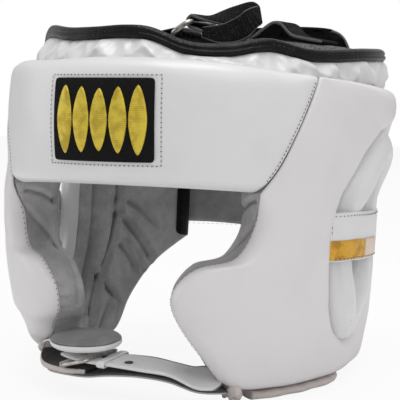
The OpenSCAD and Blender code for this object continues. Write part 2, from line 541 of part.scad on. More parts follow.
module buckle_prong() {
    color(steel) at_buckle() translate([0, prong_w / 2, 0]) rotate([90, 0, 0]) linear_extrude(prong_w) difference() {
        union() {
            translate([heel_x, heel_z]) circle(r = wire_d / 2 + fit_gap + 0.9);
            polygon([for (s = [1, -1], i = [0 : len(prong_line) - 1]) let (k = s > 0 ? i : len(prong_line) - 1 - i)
                prong_line[k] + line_side(prong_line, k) * s * prong_d / 2]);
        }
        translate([heel_x, heel_z]) circle(r = wire_d / 2 + fit_gap);
    }
}
module keeper() {
    color(white) translate(keeper_at) rotate(keeper_turn) difference() {
        cube([keeper_l, strap_w + keeper_add, strap_t + keeper_add], center = true);
        cube([keeper_l + 2, strap_w + 2 * keeper_room, strap_t + 2 * keeper_room], center = true);
    }
}
module chin_pad_cover() {
    color(white) {
        at_chin_pad() difference() {
            intersection() {
                pad_body(0);
                translate([-chin_pad_l, -chin_pad_l, -1])
                    cube([2 * chin_pad_l, 2 * chin_pad_l, chin_pad_seam + 1]);
            }
            pad_body(skin_t);
        }
        strap(tongue_path, skin_t);
    }
}
module chin_pad_foam() { color(foam) at_chin_pad() pad_body(core_in); }
module chin_pad_top() {
    color(suede) at_chin_pad() difference() {
        intersection() {
            pad_body(0);
            translate([-chin_pad_l, -chin_pad_l, chin_pad_seam + gap])
                cube([2 * chin_pad_l, 2 * chin_pad_l, chin_pad_t]);
        }
        pad_body(skin_t);
    }
}

brow_cover();
brow_foam();
brow_lining();
brow_patch();
left_side_cover();
left_side_foam();
left_side_lining();
left_hem();
right_side_cover();
right_side_foam();
right_side_lining();
right_hem();
left_ear_roll();
left_ear_core();
left_ear_liner();
left_ear_band();
left_ear_stripe();
right_ear_roll();
right_ear_core();
right_ear_liner();
right_ear_band();
right_ear_stripe();
back_pad_cover();
back_pad_foam();
back_pad_lining();
right_edge_binding();
back_band_cover();
back_band_foam();
back_band_lining();
hook_patch();
loop_patch();
crown_skirt();
crown_binding();
left_crown_panel();
right_crown_panel();
rear_crown_panel();
crown_elastic();
crown_ring();
crown_ring_tab();
crown_strap();
crown_strap_tail();
left_strap_anchor();
chin_strap();
chin_shield();
chin_tab();
buckle_loop();
buckle_frame();
buckle_prong();
keeper();
chin_pad_cover();
chin_pad_foam();
chin_pad_top();
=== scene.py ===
# Boxing headguard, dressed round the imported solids. The guard's lengths are in millimetres, turned to metres
# where a mesh is made; the studio's and the cut sizes of sheets are in metres. Theta is the angle round the head
# from the front, positive to the wearer's left.
import bpy
import bmesh
import math
import numpy as np
from mathutils import Matrix, Vector


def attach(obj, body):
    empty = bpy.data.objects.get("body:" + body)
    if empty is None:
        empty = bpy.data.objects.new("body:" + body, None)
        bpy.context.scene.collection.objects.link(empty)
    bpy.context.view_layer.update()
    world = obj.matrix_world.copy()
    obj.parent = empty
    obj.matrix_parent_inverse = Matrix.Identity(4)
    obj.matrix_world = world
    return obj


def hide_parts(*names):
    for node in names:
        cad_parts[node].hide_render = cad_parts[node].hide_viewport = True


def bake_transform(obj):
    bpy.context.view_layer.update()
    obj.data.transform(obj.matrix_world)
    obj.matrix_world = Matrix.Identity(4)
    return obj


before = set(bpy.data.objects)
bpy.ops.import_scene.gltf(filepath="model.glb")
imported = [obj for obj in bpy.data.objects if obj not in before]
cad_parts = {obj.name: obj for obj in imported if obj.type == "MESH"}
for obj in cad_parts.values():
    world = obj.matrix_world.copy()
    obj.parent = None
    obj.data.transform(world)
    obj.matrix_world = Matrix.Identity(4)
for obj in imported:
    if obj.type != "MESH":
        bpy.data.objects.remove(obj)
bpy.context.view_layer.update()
bpy.ops.object.select_all(action="DESELECT")
mm = 0.001
print("frame loaded")

# Camera: its turn to the wearer's left, its rise and its roll in degrees, its distance and its target
view = {"turn": 25, "rise": 5, "roll": 0.5, "distance": 0.7, "target": (0, -0.005, 0.095), "lens": 109.3,
        "sensor": 36}


def placeCamera():
    turn, rise, roll = (math.radians(view[key]) for key in ("turn", "rise", "roll"))
    back = Vector((math.sin(turn) * math.cos(rise), -math.cos(turn) * math.cos(rise), math.sin(rise)))
    right = Vector((math.cos(turn), math.sin(turn), 0))
    up = back.cross(right)
    across = right * math.cos(roll) + up * math.sin(roll)
    over = up * math.cos(roll) - right * math.sin(roll)
    data = bpy.data.cameras.new("camera")
    data.lens, data.sensor_width = view["lens"], view["sensor"]
    camera = bpy.data.objects.new("camera", data)
    bpy.context.scene.collection.objects.link(camera)
    place = Matrix((across, over, back)).transposed().to_4x4()
    place.translation = Vector(view["target"]) + back * view["distance"]
    camera.matrix_world = place
    bpy.context.scene.camera = camera


# Lamps: power, place and size, all turned to one point; the sky is the strength of the world's light
lamps = {"key": (4.8, (1.05, -0.85, 1.3), 1.0), "fill": (2.9, (-1.6, -0.45, 0.5), 0.9),
         "top": (9.0, (0.1, -0.1, 1.5), 0.8), "rim": (2.0, (0.2, 1.5, 1.3), 1.2)}
studio = {"sky": 0.47, "lampTarget": (0, 0, 0.1), "white": (1, 1, 1, 1)}


def placeLamps():
    for name, (power, spot, size) in lamps.items():
        data = bpy.data.lights.new(name, "AREA")
        data.energy, data.size = power, size
        lamp = bpy.data.objects.new(name, data)
        bpy.context.scene.collection.objects.link(lamp)
        lamp.location = spot
        towards = Vector(studio["lampTarget"]) - Vector(spot)
        lamp.rotation_euler = towards.to_track_quat("-Z", "Y").to_euler()


def makeSky():  # plain light on the guard, and white where the camera looks past it
    world = bpy.data.worlds.new("studio")
    bpy.context.scene.world = world
    world.use_nodes = True
    nodes, links = world.node_tree.nodes, world.node_tree.links
    plain = nodes["Background"]
    plain.inputs["Color"].default_value = studio["white"]
    plain.inputs["Strength"].default_value = studio["sky"]
    white = nodes.new("ShaderNodeBackground")
    white.inputs["Color"].default_value = studio["white"]
    ray, mix = nodes.new("ShaderNodeLightPath"), nodes.new("ShaderNodeMixShader")
    links.new(ray.outputs["Is Camera Ray"], mix.inputs[0])
    links.new(plain.outputs[0], mix.inputs[1])
    links.new(white.outputs[0], mix.inputs[2])
    links.new(mix.outputs[0], nodes["World Output"].inputs["Surface"])


placeCamera()
placeLamps()
makeSky()
bpy.context.scene.view_settings.view_transform = "Standard"
print("camera and lamps")


# Materials
class Wire:  # one socket of a material, with Python's own operators
    def __init__(self, finish, socket):
        self.finish, self.socket = finish, socket

    def maths(self, operation, other=None, swapped=False):
        values = [other, self] if swapped else [self, other]
        sockets = {index: value for index, value in enumerate(values) if value is not None}
        return self.finish.node("ShaderNodeMath", {"operation": operation}, sockets)

    def __add__(self, other):
        return self.maths("ADD", other)

    def __radd__(self, other):
        return self.maths("ADD", other, True)

    def __sub__(self, other):
        return self.maths("SUBTRACT", other)

    def __rsub__(self, other):
        return self.maths("SUBTRACT", other, True)

    def __mul__(self, other):
        return self.maths("MULTIPLY", other)

    def __rmul__(self, other):
        return self.maths("MULTIPLY", other, True)

    def wave(self, length):  # from -1 to 1, once in each length
        return (self * (2 * math.pi / length)).maths("SINE")


class Finish:  # one material: its shader, and the nodes that feed it
    def __init__(self, name, **fixed):
        self.material = bpy.data.materials.new(name)
        self.material.use_nodes = True
        self.tree = self.material.node_tree
        self.shader = self.tree.nodes["Principled BSDF"]
        for socket, value in fixed.items():
            self.shader.inputs[socket.replace("_", " ")].default_value = value
        self.place = self.node("ShaderNodeTexCoord", output="Object")

    def fill(self, made, sockets):  # links a socket to a wire, or sets its value
        for key, value in sockets.items():
            if isinstance(value, Wire):
                self.tree.links.new(value.socket, made.inputs[key])
            else:
                made.inputs[key].default_value = value

    def node(self, kind, settings=None, sockets=None, output=0):
        made = self.tree.nodes.new(kind)
        for key, value in (settings or {}).items():
            setattr(made, key, value)
        self.fill(made, sockets or {})
        return Wire(self, made.outputs[output])

    def noise(self, size, detail=3.0, rough=0.5, place=None):  # size in millimetres, as for cells
        return self.node("ShaderNodeTexNoise", None, {"Vector": place or self.place, "Scale": 1 / (size * mm),
                                                      "Detail": detail, "Roughness": rough})

    def cells(self, size, feature="F1"):
        return self.node("ShaderNodeTexVoronoi", {"feature": feature},
                         {"Vector": self.place, "Scale": 1 / (size * mm)}, "Distance")

    def axis(self, name, vector=None):
        return self.node("ShaderNodeSeparateXYZ", None, {0: vector or self.place}, name)

    def mapped(self, name):  # the piece's own map of that name
        return self.node("ShaderNodeUVMap", {"uv_map": name})

    def blendColours(self, share, first, second):  # a Mix node's sockets 6 and 7 are its two colours
        colours = {6: first, 7: second}
        colours = {key: value if isinstance(value, Wire) else (*value, 1) for key, value in colours.items()}
        return self.node("ShaderNodeMix", {"data_type": "RGBA"}, {0: share, **colours}, 2)

    def step(self, wire, low, high):
        return self.node("ShaderNodeMapRange", {"interpolation_type": "SMOOTHSTEP"},
                         {0: wire, 1: low, 2: high, 3: 0.0, 4: 1.0})

    def feed(self, socket, wire):
        self.tree.links.new(wire.socket, self.shader.inputs[socket])

    def relief(self, height, depth):
        self.feed("Normal", self.node("ShaderNodeBump", None, {"Height": height, "Distance": depth * mm,
                                                               "Strength": 1.0}))


def leather(name, pale, dull, roughness, grain=0.05, tintSize=28, slack=0.0, **fixed):
    finish = Finish(name, **fixed)
    pebble = finish.cells(1.1, "SMOOTH_F1")
    pores = finish.noise(0.35, 2)
    broad = finish.noise(tintSize, 4, 0.55)
    creases = finish.noise(3.2, 5, 0.62)
    finish.feed("Base Color", finish.blendColours(finish.step(broad, 0.44, 0.8), pale, dull))
    finish.feed("Roughness", (broad - 0.5) * 0.18 + (pebble - 0.4) * 0.12 + roughness)
    surface = pebble * 0.6 + pores * 0.25 + creases * 1.1
    if slack:
        stretched = finish.node("ShaderNodeMapping", None, {"Vector": finish.place, "Scale": (1, 1, 0.3)})
        surface = surface + finish.noise(9, 2, 0.5, stretched) * slack
    finish.relief(surface, grain)
    return finish.material


def suede(name, light, dark):  # painted shade in the folds that the lining's own map holds
    finish = Finish(name, Roughness=0.95, Sheen_Weight=0.15, Sheen_Roughness=0.4, Specular_IOR_Level=0.2)
    nap = finish.noise(0.55, 5, 0.75)
    brushed = finish.noise(9, 5, 0.6)
    broad = finish.noise(34, 3, 0.5)
    tone = finish.step(nap * 0.45 + brushed * 0.35 + broad * 0.2, 0.36, 0.64)
    depth = finish.axis("X", finish.mapped("folds"))
    worn = finish.blendColours(tone, dark, light)
    # painted shade: where the folds are deep the colour goes towards a fifth of the dark tone
    shade = finish.step(depth + nap * 0.5 - 0.25, 0.3, 2.9) * 0.75
    finish.feed("Base Color", finish.blendColours(shade, worn, tuple(c * 0.2 for c in dark)))
    finish.relief(nap * 1.0 + brushed * 0.9, 0.45)
    return finish.material


def hookFabric(name, dark, pale, size=0.75):
    finish = Finish(name, Roughness=0.92, Specular_IOR_Level=0.15)
    loops = finish.noise(size, 4, 0.8)
    rows = finish.cells(size * 1.3)
    ribs = (finish.axis("X") + finish.axis("Z") * 0.6).wave(size * 2.6 * mm)
    finish.feed("Base Color", finish.blendColours(finish.step(loops + ribs * 0.035, 0.5, 0.72), dark, pale))
    finish.relief(loops + rows * 0.7 + ribs * 0.12, 0.6)
    return finish.material


def meshFabric(name, dark, pale, pitch=1.7):
    finish = Finish(name, Roughness=0.8, Specular_IOR_Level=0.2)
    holes = finish.cells(pitch)
    threads = finish.noise(0.4, 3)
    finish.feed("Base Color", finish.blendColours(finish.step(holes, 0.34, 0.55), dark, pale))
    finish.relief(holes * 1.2 + threads * 0.3, 0.35)
    return finish.material


def vinyl(name, tone, scuffed):
    finish = Finish(name, IOR=1.3)
    grain = finish.cells(0.9, "SMOOTH_F1")
    broad = finish.noise(11, 5, 0.65)
    finish.feed("Base Color", finish.blendColours(finish.step(broad, 0.5, 0.8), tone, scuffed))
    finish.feed("Roughness", broad * 0.2 + grain * 0.1 + 0.16)
    finish.relief(grain + broad * 2.6, 0.2)
    return finish.material


def ribbonSatin(name, bright, deep, ridge=0.9):
    finish = Finish(name, Metallic=0.35)
    ridges = finish.axis("Z").wave(ridge * mm)
    patches = finish.noise(5, 3)
    tone = finish.step(patches + ridges * 0.06, 0.35, 0.7)
    finish.feed("Base Color", finish.blendColours(tone, bright, deep))
    finish.feed("Roughness", patches * 0.2 + 0.28)
    finish.relief(ridges * 0.5 + patches * 0.5, 0.08)
    return finish.material


def wireSteel(name, tone, stain):
    finish = Finish(name, Metallic=1.0)
    worn = finish.noise(2.2, 5, 0.7)
    finish.feed("Base Color", finish.blendColours(finish.step(worn, 0.45, 0.75), tone, stain))
    finish.feed("Roughness", worn * 0.3 + 0.18)
    finish.relief(worn, 0.04)
    return finish.material


def cellFoam(name, tone, deep):
    finish = Finish(name, Roughness=0.9)
    pits = finish.cells(1.4)
    # the pits are painted darker, as shade in the foam's cells
    finish.feed("Base Color", finish.blendColours(finish.step(pits, 0.2, 0.6), deep, tone))
    finish.relief(pits, 0.3)
    return finish.material


def sewingThread(name, tone, shade, size=0.5):
    finish = Finish(name, Roughness=0.7)
    twist = finish.noise(size, 3)
    finish.feed("Base Color", finish.blendColours(twist, tone, shade))
    finish.relief(twist, 0.05)
    return finish.material


def ribbedElastic(name, dark, pale, rib=2.6):  # the ribs follow the elastic's own weave map; their pale crests are painted highlights
    finish = Finish(name, Roughness=0.75, Specular_IOR_Level=0.2)
    yarn = finish.noise(0.5, 3, 0.7)
    ribs = finish.axis("X", finish.mapped("weave")).wave(rib)
    finish.feed("Base Color", finish.blendColours(finish.step(ribs + yarn * 0.8, 0.75, 1.4), dark, pale))
    finish.relief(ribs * 0.8 + yarn * 0.5, 0.35)
    return finish.material


finishes = {
    "white": leather("whiteLeather", (0.80, 0.80, 0.803), (0.775, 0.765, 0.768), 0.34, Coat_Weight=0.12,
                     Coat_Roughness=0.25),
    "soft": leather("softLeather", (0.79, 0.79, 0.793), (0.745, 0.735, 0.737), 0.32, slack=15,
                    Coat_Weight=0.15, Coat_Roughness=0.22),
    "cheek": leather("cheekLeather", (0.80, 0.775, 0.783), (0.775, 0.745, 0.753), 0.38, Coat_Weight=0.12,
                     Coat_Roughness=0.25),
    "cream": leather("creamLeather", (0.66, 0.60, 0.575), (0.56, 0.49, 0.46), 0.5, 0.09, 12),
    "suede": suede("greySuede", (0.56, 0.55, 0.55), (0.34, 0.333, 0.333)),
    "padSuede": suede("padSuede", (0.32, 0.315, 0.315), (0.2, 0.197, 0.197)),
    # suede painted dark as shade, for the chin shield under the strap and the tab in shadow
    "shadeSuede": suede("paintedShadeSuede", (0.10, 0.10, 0.102), (0.045, 0.044, 0.045)),
    "hook": hookFabric("hookFabric", (0.006, 0.006, 0.007), (0.075, 0.075, 0.077)),
    "patch": hookFabric("wovenPatch", (0.008, 0.008, 0.009), (0.03, 0.03, 0.032), 0.45),
    "mesh": meshFabric("blackMesh", (0.012, 0.012, 0.013), (0.16, 0.16, 0.16)),
    "vinyl": vinyl("blackVinyl", (0.004, 0.004, 0.005), (0.014, 0.014, 0.016)),
    "elastic": ribbedElastic("ribbedElastic", (0.012, 0.012, 0.013), (0.14, 0.14, 0.14)),
    "gold": ribbonSatin("goldRibbon", (0.80, 0.44, 0.045), (0.50, 0.25, 0.02)),
    "goldYarn": ribbonSatin("goldYarn", (0.78, 0.60, 0.06), (0.52, 0.37, 0.03)),
    "paleRibbon": leather("paleRibbon", (0.78, 0.62, 0.50), (0.70, 0.50, 0.38), 0.3, 0.03, 6),
    "steel": wireSteel("platedSteel", (0.62, 0.60, 0.57), (0.30, 0.24, 0.19)),
    "foam": cellFoam("padFoam", (0.85, 0.80, 0.66), (0.62, 0.55, 0.4)),
    "thread": sewingThread("whiteThread", (0.80, 0.79, 0.78), (0.6, 0.59, 0.58)),
    "holeShade": sewingThread("paintedHoleShade", (0.03, 0.028, 0.028), (0.08, 0.07, 0.07)),
    "paleEnd": sewingThread("paleEnd", (0.5, 0.5, 0.5), (0.3, 0.3, 0.3), 0.8),
    # grey thread and edge lines, and painted shade along the chin strap's end
    "edgingAndShade": sewingThread("greyEdgingAndShade", (0.16, 0.16, 0.165), (0.08, 0.08, 0.085), 0.8),
}
print("materials")

# The head that the guard is shaped round. From a height on the crown leans to the left and to the back, and its
# right front stands up more. Pairs are where a change starts and the length over which it comes in
head = {"halfWidth": 80, "halfDepth": 100, "shares": [[0, 0.88], [55, 0.97], [105, 1], [160, 1], [190, 0.97]],
        "leftLift": 0, "rightLift": 16, "liftTheta": (72, 32), "liftZ": (48, 36),
        "lean": (3.4, 1.6), "leanZ": (98, 26), "rise": 5.6, "riseX": (30, 52), "riseY": (75, 60),
        "riseZ": (130, 38), "axisY": -5}


def ease(t):
    t = np.clip(t, 0, 1)
    return t * t * (3 - 2 * t)


def hermite(u, a, b, slopeA, slopeB):  # smooth step from a to b with a slope at each
    v = 1 - u
    return v * v * (1 + 2 * u) * a + u * u * (1 + 2 * v) * b + u * v * (v * slopeA - u * slopeB)


def curveThrough(x, table):  # smooth curve through pairs, level at both ends
    xs, ys = np.array(table, float).T
    slopes = np.zeros_like(ys)
    slopes[1:-1] = (ys[2:] - ys[:-2]) / (xs[2:] - xs[:-2])
    x = np.clip(np.asarray(x, float), xs[0], xs[-1])
    i = np.clip(np.searchsorted(xs, x, side="right") - 1, 0, len(xs) - 2)
    h = xs[i + 1] - xs[i]
    return hermite((x - xs[i]) / h, ys[i], ys[i + 1], h * slopes[i], h * slopes[i + 1])


def below(value, bounds):  # comes in as the value falls from where the pair starts
    return ease((bounds[0] - value) / bounds[1])


def beyond(value, bounds):  # comes in as the value rises from there
    return ease((value - bounds[0]) / bounds[1])


def onHead(theta, z, out, lift=0.0):  # a point out from the head; lift raises the front of a side's foot
    theta, z, out = np.broadcast_arrays(*(np.asarray(a, float) for a in (theta, z, out)))
    share = curveThrough(z, head["shares"])
    a, b, t = head["halfWidth"] * share, head["halfDepth"] * share, np.radians(theta)
    nx, ny = np.sin(t) / a, -np.cos(t) / b
    n = np.hypot(nx, ny)
    raisedZ = z + lift * below(theta, head["liftTheta"]) * below(z, head["liftZ"])
    return np.stack([a * np.sin(t) + out * nx / n, -b * np.cos(t) + out * ny / n, raisedZ], -1)


def offHead(theta, z, out, lift=0.0):  # the point, and the way out from the head there
    return onHead(theta, z, out, lift), onHead(theta, z, out + 5, lift) - onHead(theta, z, out, lift)


def ripple(a, b, seed, size, waves=7):  # gentle unevenness over two lengths in millimetres
    draw = np.random.default_rng(seed)
    total = np.zeros(np.broadcast(a, b).shape)
    for _ in range(waves):
        way, phase, scale = draw.uniform(0, math.pi), draw.uniform(0, 6.3), size * draw.uniform(0.6, 1.7)
        total += np.sin((a * math.cos(way) + b * math.sin(way)) * 2 * math.pi / scale + phase)
    return total / 4


def resample(rows, perStep, along=False, corners=()):  # smooth line of rows through the given ones
    rows = np.asarray(rows, float)
    count = len(rows)
    if along:
        slopes = (np.roll(rows, -1, 0) - np.roll(rows, 1, 0)) / 2
    else:
        slopes = np.gradient(rows, axis=0)
    slopes[list(corners)] = 0
    made = []
    for i in range(count if along else count - 1):
        j = (i + 1) % count
        made += [hermite(u, rows[i], rows[j], slopes[i], slopes[j]) for u in np.arange(perStep) / perStep]
    return np.array(made if along else made + [rows[-1]])


def circle(step):  # angles once round, in radians
    return np.radians(range(0, 360, step))


def unit(vectors):
    return vectors / np.linalg.norm(vectors, axis=-1, keepdims=True)


# Mesh helpers
def applyAll(piece):
    bpy.ops.object.select_all(action="DESELECT")
    bpy.context.view_layer.objects.active = piece
    piece.select_set(True)
    for modifier in list(piece.modifiers):
        bpy.ops.object.modifier_apply(modifier=modifier.name)
    piece.select_set(False)


def soften(piece, levels):
    if levels:
        soft = piece.modifiers.new("soft", "SUBSURF")
        soft.levels = soft.render_levels = levels
    applyAll(piece)
    piece.data.shade_smooth()


def leaning(points):  # the crown's lean, and its rise at the right front
    points = np.array(points, float).reshape(-1, 3)
    points[:, :2] += beyond(points[:, 2:], head["leanZ"]) * head["lean"]
    x, y, z = points.T
    share = beyond(z, head["riseZ"]) * beyond(-x, head["riseX"]) * below(y, head["riseY"])
    points[:, 2] += head["rise"] * share
    return points


def addMap(piece, name, spots):  # one pair of values for each point of the mesh
    layer, index = piece.data.uv_layers.new(name=name), np.zeros(len(piece.data.loops), np.int32)
    piece.data.loops.foreach_get("vertex_index", index)
    layer.data.foreach_set("uv", np.asarray(spots, float).reshape(-1, 2)[index].ravel())


def makePiece(name, points, faces):
    mesh = bpy.data.meshes.new(name)
    mesh.from_pydata((leaning(points) * mm).tolist(), [], faces)
    piece = bpy.data.objects.new(name, mesh)
    bpy.context.scene.collection.objects.link(piece)
    return piece


def netFaces(rows, across, around=False, along=False):
    faces = []
    for i in range(rows if along else rows - 1):
        for j in range(across if around else across - 1):
            i2, j2 = (i + 1) % rows, (j + 1) % across
            faces.append((i * across + j, i * across + j2, i2 * across + j2, i2 * across + j))
    return faces


def facesOutward(points, faces, towards):
    a, b, c = (points[[f[k] for f in faces]] for k in (0, 1, 2))
    normals = np.cross(b - a, c - a)
    return float((normals * towards((a + c) / 2)).sum()) > 0


def awayFromAxis(spots):
    return spots * (1, 1, 0) - (0, head["axisY"], 0)


def upward(spots):
    return np.broadcast_to(np.array((0.0, 0.0, 1.0)), spots.shape)


def backward(spots):
    return np.broadcast_to(np.array((0.0, 1.0, 0.0)), spots.shape)


# A sheet of leather or fabric from a net of points. Its thickness grows inward from the net, or both ways when
# it is centred
def makeSheet(name, net, thickness, towards=awayFromAxis, along=False, levels=1, inward=False, folds=None,
              centred=False):
    net = np.asarray(net, float)
    rows, across = net.shape[:2]
    points, faces = net.reshape(-1, 3), netFaces(rows, across, False, along)
    if not centred and facesOutward(points, faces, towards) == inward:
        faces = [f[::-1] for f in faces]
    piece = makePiece(name, points, faces)
    addMap(piece, "weave", np.stack(np.meshgrid(np.arange(rows), np.arange(across), indexing="ij"), -1))
    # the folds map carries fold depth to the suede, which paints shade there
    if folds is not None:
        depth = np.asarray(folds, float)
        addMap(piece, "folds", np.stack([depth, depth * 0], -1))
    wall = piece.modifiers.new("wall", "SOLIDIFY")
    wall.thickness, wall.offset = thickness * mm, 0 if centred else -1
    soften(piece, levels)
    return piece


# A stuffed tube through rings of points, closed into a loop or capped at both ends
def makeTube(name, rings, along=False, levels=1):
    rings = np.asarray(rings, float)
    rows, across = rings.shape[:2]
    points, faces = rings.reshape(-1, 3), netFaces(rows, across, True, along)
    if not along:
        faces += [tuple(range(across))[::-1], tuple(range((rows - 1) * across, rows * across))]
    piece = makePiece(name, points, faces)
    shell = bmesh.new()
    shell.from_mesh(piece.data)
    bmesh.ops.recalc_face_normals(shell, faces=shell.faces)
    shell.to_mesh(piece.data)
    shell.free()
    soften(piece, levels)
    return piece


def clothe(piece, finish, nodes):
    piece.data.materials.clear()
    piece.data.materials.append(finishes[finish])
    if nodes:
        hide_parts(*nodes)


def dress(piece, finish, body, nodes=()):
    clothe(piece, finish, nodes)
    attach(piece, body)
    return piece


def dressBend(piece, finish, bend, nodes=()):  # a piece baked in place, with no joint; its bend is not used
    clothe(piece, finish, nodes)
    start, end = ([c * mm for c in spot] for spot in bend)
    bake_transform(piece)
    return piece


def mirrored(net):
    return np.asarray(net, float) * (-1, 1, 1)


sides = (("left", False), ("right", True))  # what is made for the left is mirrored for the right


# Stitches: their size at one millimetre long and thick, and the size of a needle hole, painted dark as the shade
# in it
stitch = {"segments": 6, "rings": 5, "shape": (1.0, 0.34, 0.3), "hole": (0.75, 2.1, 0.9), "reach": 0.5}


def stitchModel():  # one short capsule of thread, lying along x
    bpy.ops.mesh.primitive_uv_sphere_add(segments=stitch["segments"], ring_count=stitch["rings"], radius=0.5)
    bpy.ops.object.mode_set(mode="EDIT")
    bpy.ops.mesh.select_all(action="SELECT")
    bpy.ops.transform.resize(value=stitch["shape"], center_override=(0, 0, 0))
    bpy.ops.object.mode_set(mode="OBJECT")
    seed = bpy.context.object
    mesh = seed.data
    points = np.array([v.co for v in mesh.vertices])
    faces = sorted(tuple(f.vertices) for f in mesh.polygons)
    bpy.data.objects.remove(seed)
    bpy.data.meshes.remove(mesh)
    return points, faces


stitchPoints, stitchFaces = stitchModel()


# Row of thread stitches along a line of points, each with its needle hole painted dark as shade; normals point
# off the cloth
def stitchRow(name, line, normals, body, pitch=2.3, long=1.5, thick=1.0, holes=True, thread="thread"):
    line, normals = np.asarray(line, float), np.asarray(normals, float)
    run = np.concatenate([[0], np.cumsum(np.linalg.norm(np.diff(line, axis=0), axis=1))])

    def sample(values, at):
        return np.array([np.interp(at, run, values[:, k]) for k in range(3)])

    kinds = [(0, (long, thick, thick))]
    if holes:
        kinds.append((pitch / 2, stitch["hole"]))
    points, faces, holed = [], [], []
    for spot in np.arange(pitch / 2, run[-1], pitch):
        for shift, size in kinds:
            at = min(spot + shift, run[-1])
            ahead = unit(sample(line, at + stitch["reach"]) - sample(line, at - stitch["reach"]))
            aside = unit(np.cross(sample(normals, at), ahead))
            axes = np.stack([ahead, aside, np.cross(ahead, aside)])
            faces += [tuple(len(points) + k for k in f) for f in stitchFaces]
            points += list(sample(line, at) + (stitchPoints * size) @ axes)
            holed += [shift > 0] * len(stitchFaces)
    piece = makePiece(name, points, faces)
    piece.data.shade_smooth()
    dress(piece, thread, body)
    piece.data.materials.append(finishes["holeShade"])
    piece.data.polygons.foreach_set("material_index", np.array(holed, np.int32))
    return piece


# Pads. Each row of a pad holds theta and z of its outer rim, theta and z of its inner or lower rim, the
# thickness and then the rounding at the inner and the outer rim, the height of the pad's back and the lift of
# its foot. A section runs from the inner rim at s = 0 to the outer rim at s = wide, with h as the height off
# the back
pad = {"skin": 1.2, "liningThick": 1.0, "swell": 2.4, "fullness": 0.7, "tuck": 1.1, "under": 1.0, "bend": 4,
       "liningIn": 0.5, "liningGap": 0.6, "liningEase": 0.3, "edgeSteps": 14, "edgeFrom": (-4, 3),
       "foamIn": 2.8, "foamBack": 4.0}
arc = np.radians(np.linspace(0, 90, 5))


def backBend(thickIn, thickOut, roundIn, roundOut):  # rounding of the lining's two back edges
    return min(pad["bend"], 0.8 * (min(thickIn, thickOut) - max(roundIn, roundOut)))


def coverSection(wide, thickIn, thickOut, roundIn, roundOut):
    line = [(pad["tuck"], thickIn - roundIn - pad["under"])]
    line += [(roundIn - roundIn * math.cos(a), thickIn - roundIn + roundIn * math.sin(a)) for a in arc]
    line += [(roundIn + (wide - roundIn - roundOut) * u, thickIn + (thickOut - thickIn) * u)
             for u in np.linspace(0, 1, 11)[1:-1]]
    line += [(wide - roundOut + roundOut * math.sin(a), thickOut - roundOut + roundOut * math.cos(a))
             for a in arc]
    line.append((wide - pad["tuck"], thickOut - roundOut - pad["under"]))
    s, h = np.array(line).T
    onFace = h > thickIn - roundIn + 0.5 * min(roundIn, roundOut)
    return s, h + pad["swell"] * np.sin(math.pi * np.clip(s / wide, 0, 1)) ** pad["fullness"] * onFace


def liningSection(wide, thickIn, thickOut, roundIn, roundOut, fine, edgeSteps):
    bend, inset, gap = backBend(thickIn, thickOut, roundIn, roundOut), pad["liningIn"], pad["liningGap"]
    line = [(wide - inset, h) for h in np.linspace(thickOut - roundOut - gap, bend + gap, edgeSteps)]
    line += [(wide - bend + bend * math.cos(a) - pad["liningEase"], bend - bend * math.sin(a)) for a in arc]
    line += [(bend + (wide - 2 * bend) * u, 0) for u in np.linspace(1, 0, fine)[1:-1]]
    line += [(bend - bend * math.sin(a) + pad["liningEase"], bend - bend * math.cos(a)) for a in arc]
    return np.array(line + [(inset, (thickIn - roundIn + bend) / 2), (inset, thickIn - roundIn - gap)]).T


def foamSection(wide, thickIn, thickOut, roundIn, roundOut):
    bend, inset = backBend(thickIn, thickOut, roundIn, roundOut), pad["foamIn"]
    line = [(inset, thickIn - roundIn)]
    line += [(roundIn + (wide - roundIn - roundOut) * u, thickIn + (thickOut - thickIn) * u - inset)
             for u in np.linspace(0, 1, 7)]
    line += [(wide - inset, thickOut - roundOut), (wide - inset, bend + inset)]
    line += [(bend + (wide - 2 * bend) * u, pad["foamBack"]) for u in np.linspace(1, 0, 9)]
    return np.array(line + [(inset, bend + inset)]).T


# One section as points. Creases move it in and out, edge creases move a lining's front edge back, and the
# folds of both are noted for the lining's own map, which the suede reads to paint shade in them
def padLine(row, layer, creases=None, fine=13, noted=None, edgeCreases=None):
    outer, inner, sizes, base, lift = np.array(row[0:2]), np.array(row[2:4]), row[4:8], row[8], row[9]
    wide = float(np.linalg.norm(onHead(*outer, sizes[1] / 2, lift) - onHead(*inner, sizes[0] / 2, lift)))
    if layer == "cover":
        s, h = coverSection(wide, *sizes)
    elif layer == "lining":
        s, h = liningSection(wide, *sizes, fine, pad["edgeSteps"] if edgeCreases else 2)
    else:
        s, h = foamSection(wide, *sizes)
    sunk = 0
    if edgeCreases:
        z = inner[1] + (outer[1] - inner[1]) * s / wide
        sunk = edgeCreases(z, h) * beyond(s - wide, pad["edgeFrom"])
        s = s - sunk
    theta, z = (inner[k] + (outer[k] - inner[k]) * s / wide for k in (0, 1))
    if creases:
        folds = creases(theta, z, s, h)
        h = h + folds
        if noted is not None:
            noted.append(folds + sunk)
    return onHead(theta, z, h + base, lift)


def padNet(rows, layer, creases=None, **options):
    return np.array([padLine(row, layer, creases, **options) for row in rows])


def dressPad(name, node, rows, body, coverCreases, liningCreases=None, foamStep=3):
    dress(makeSheet(f"{name}Cover", padNet(rows, "cover", coverCreases), pad["skin"]), "white", body,
          [f"{node}_cover"])
    dress(makeSheet(f"{name}Lining", padNet(rows, "lining", liningCreases), pad["liningThick"], inward=True),
          "suede", body, [f"{node}_lining"])
    dress(makeTube(f"{name}Foam", padNet(rows[::foamStep], "foam"), levels=0), "foam", body, [f"{node}_foam"])


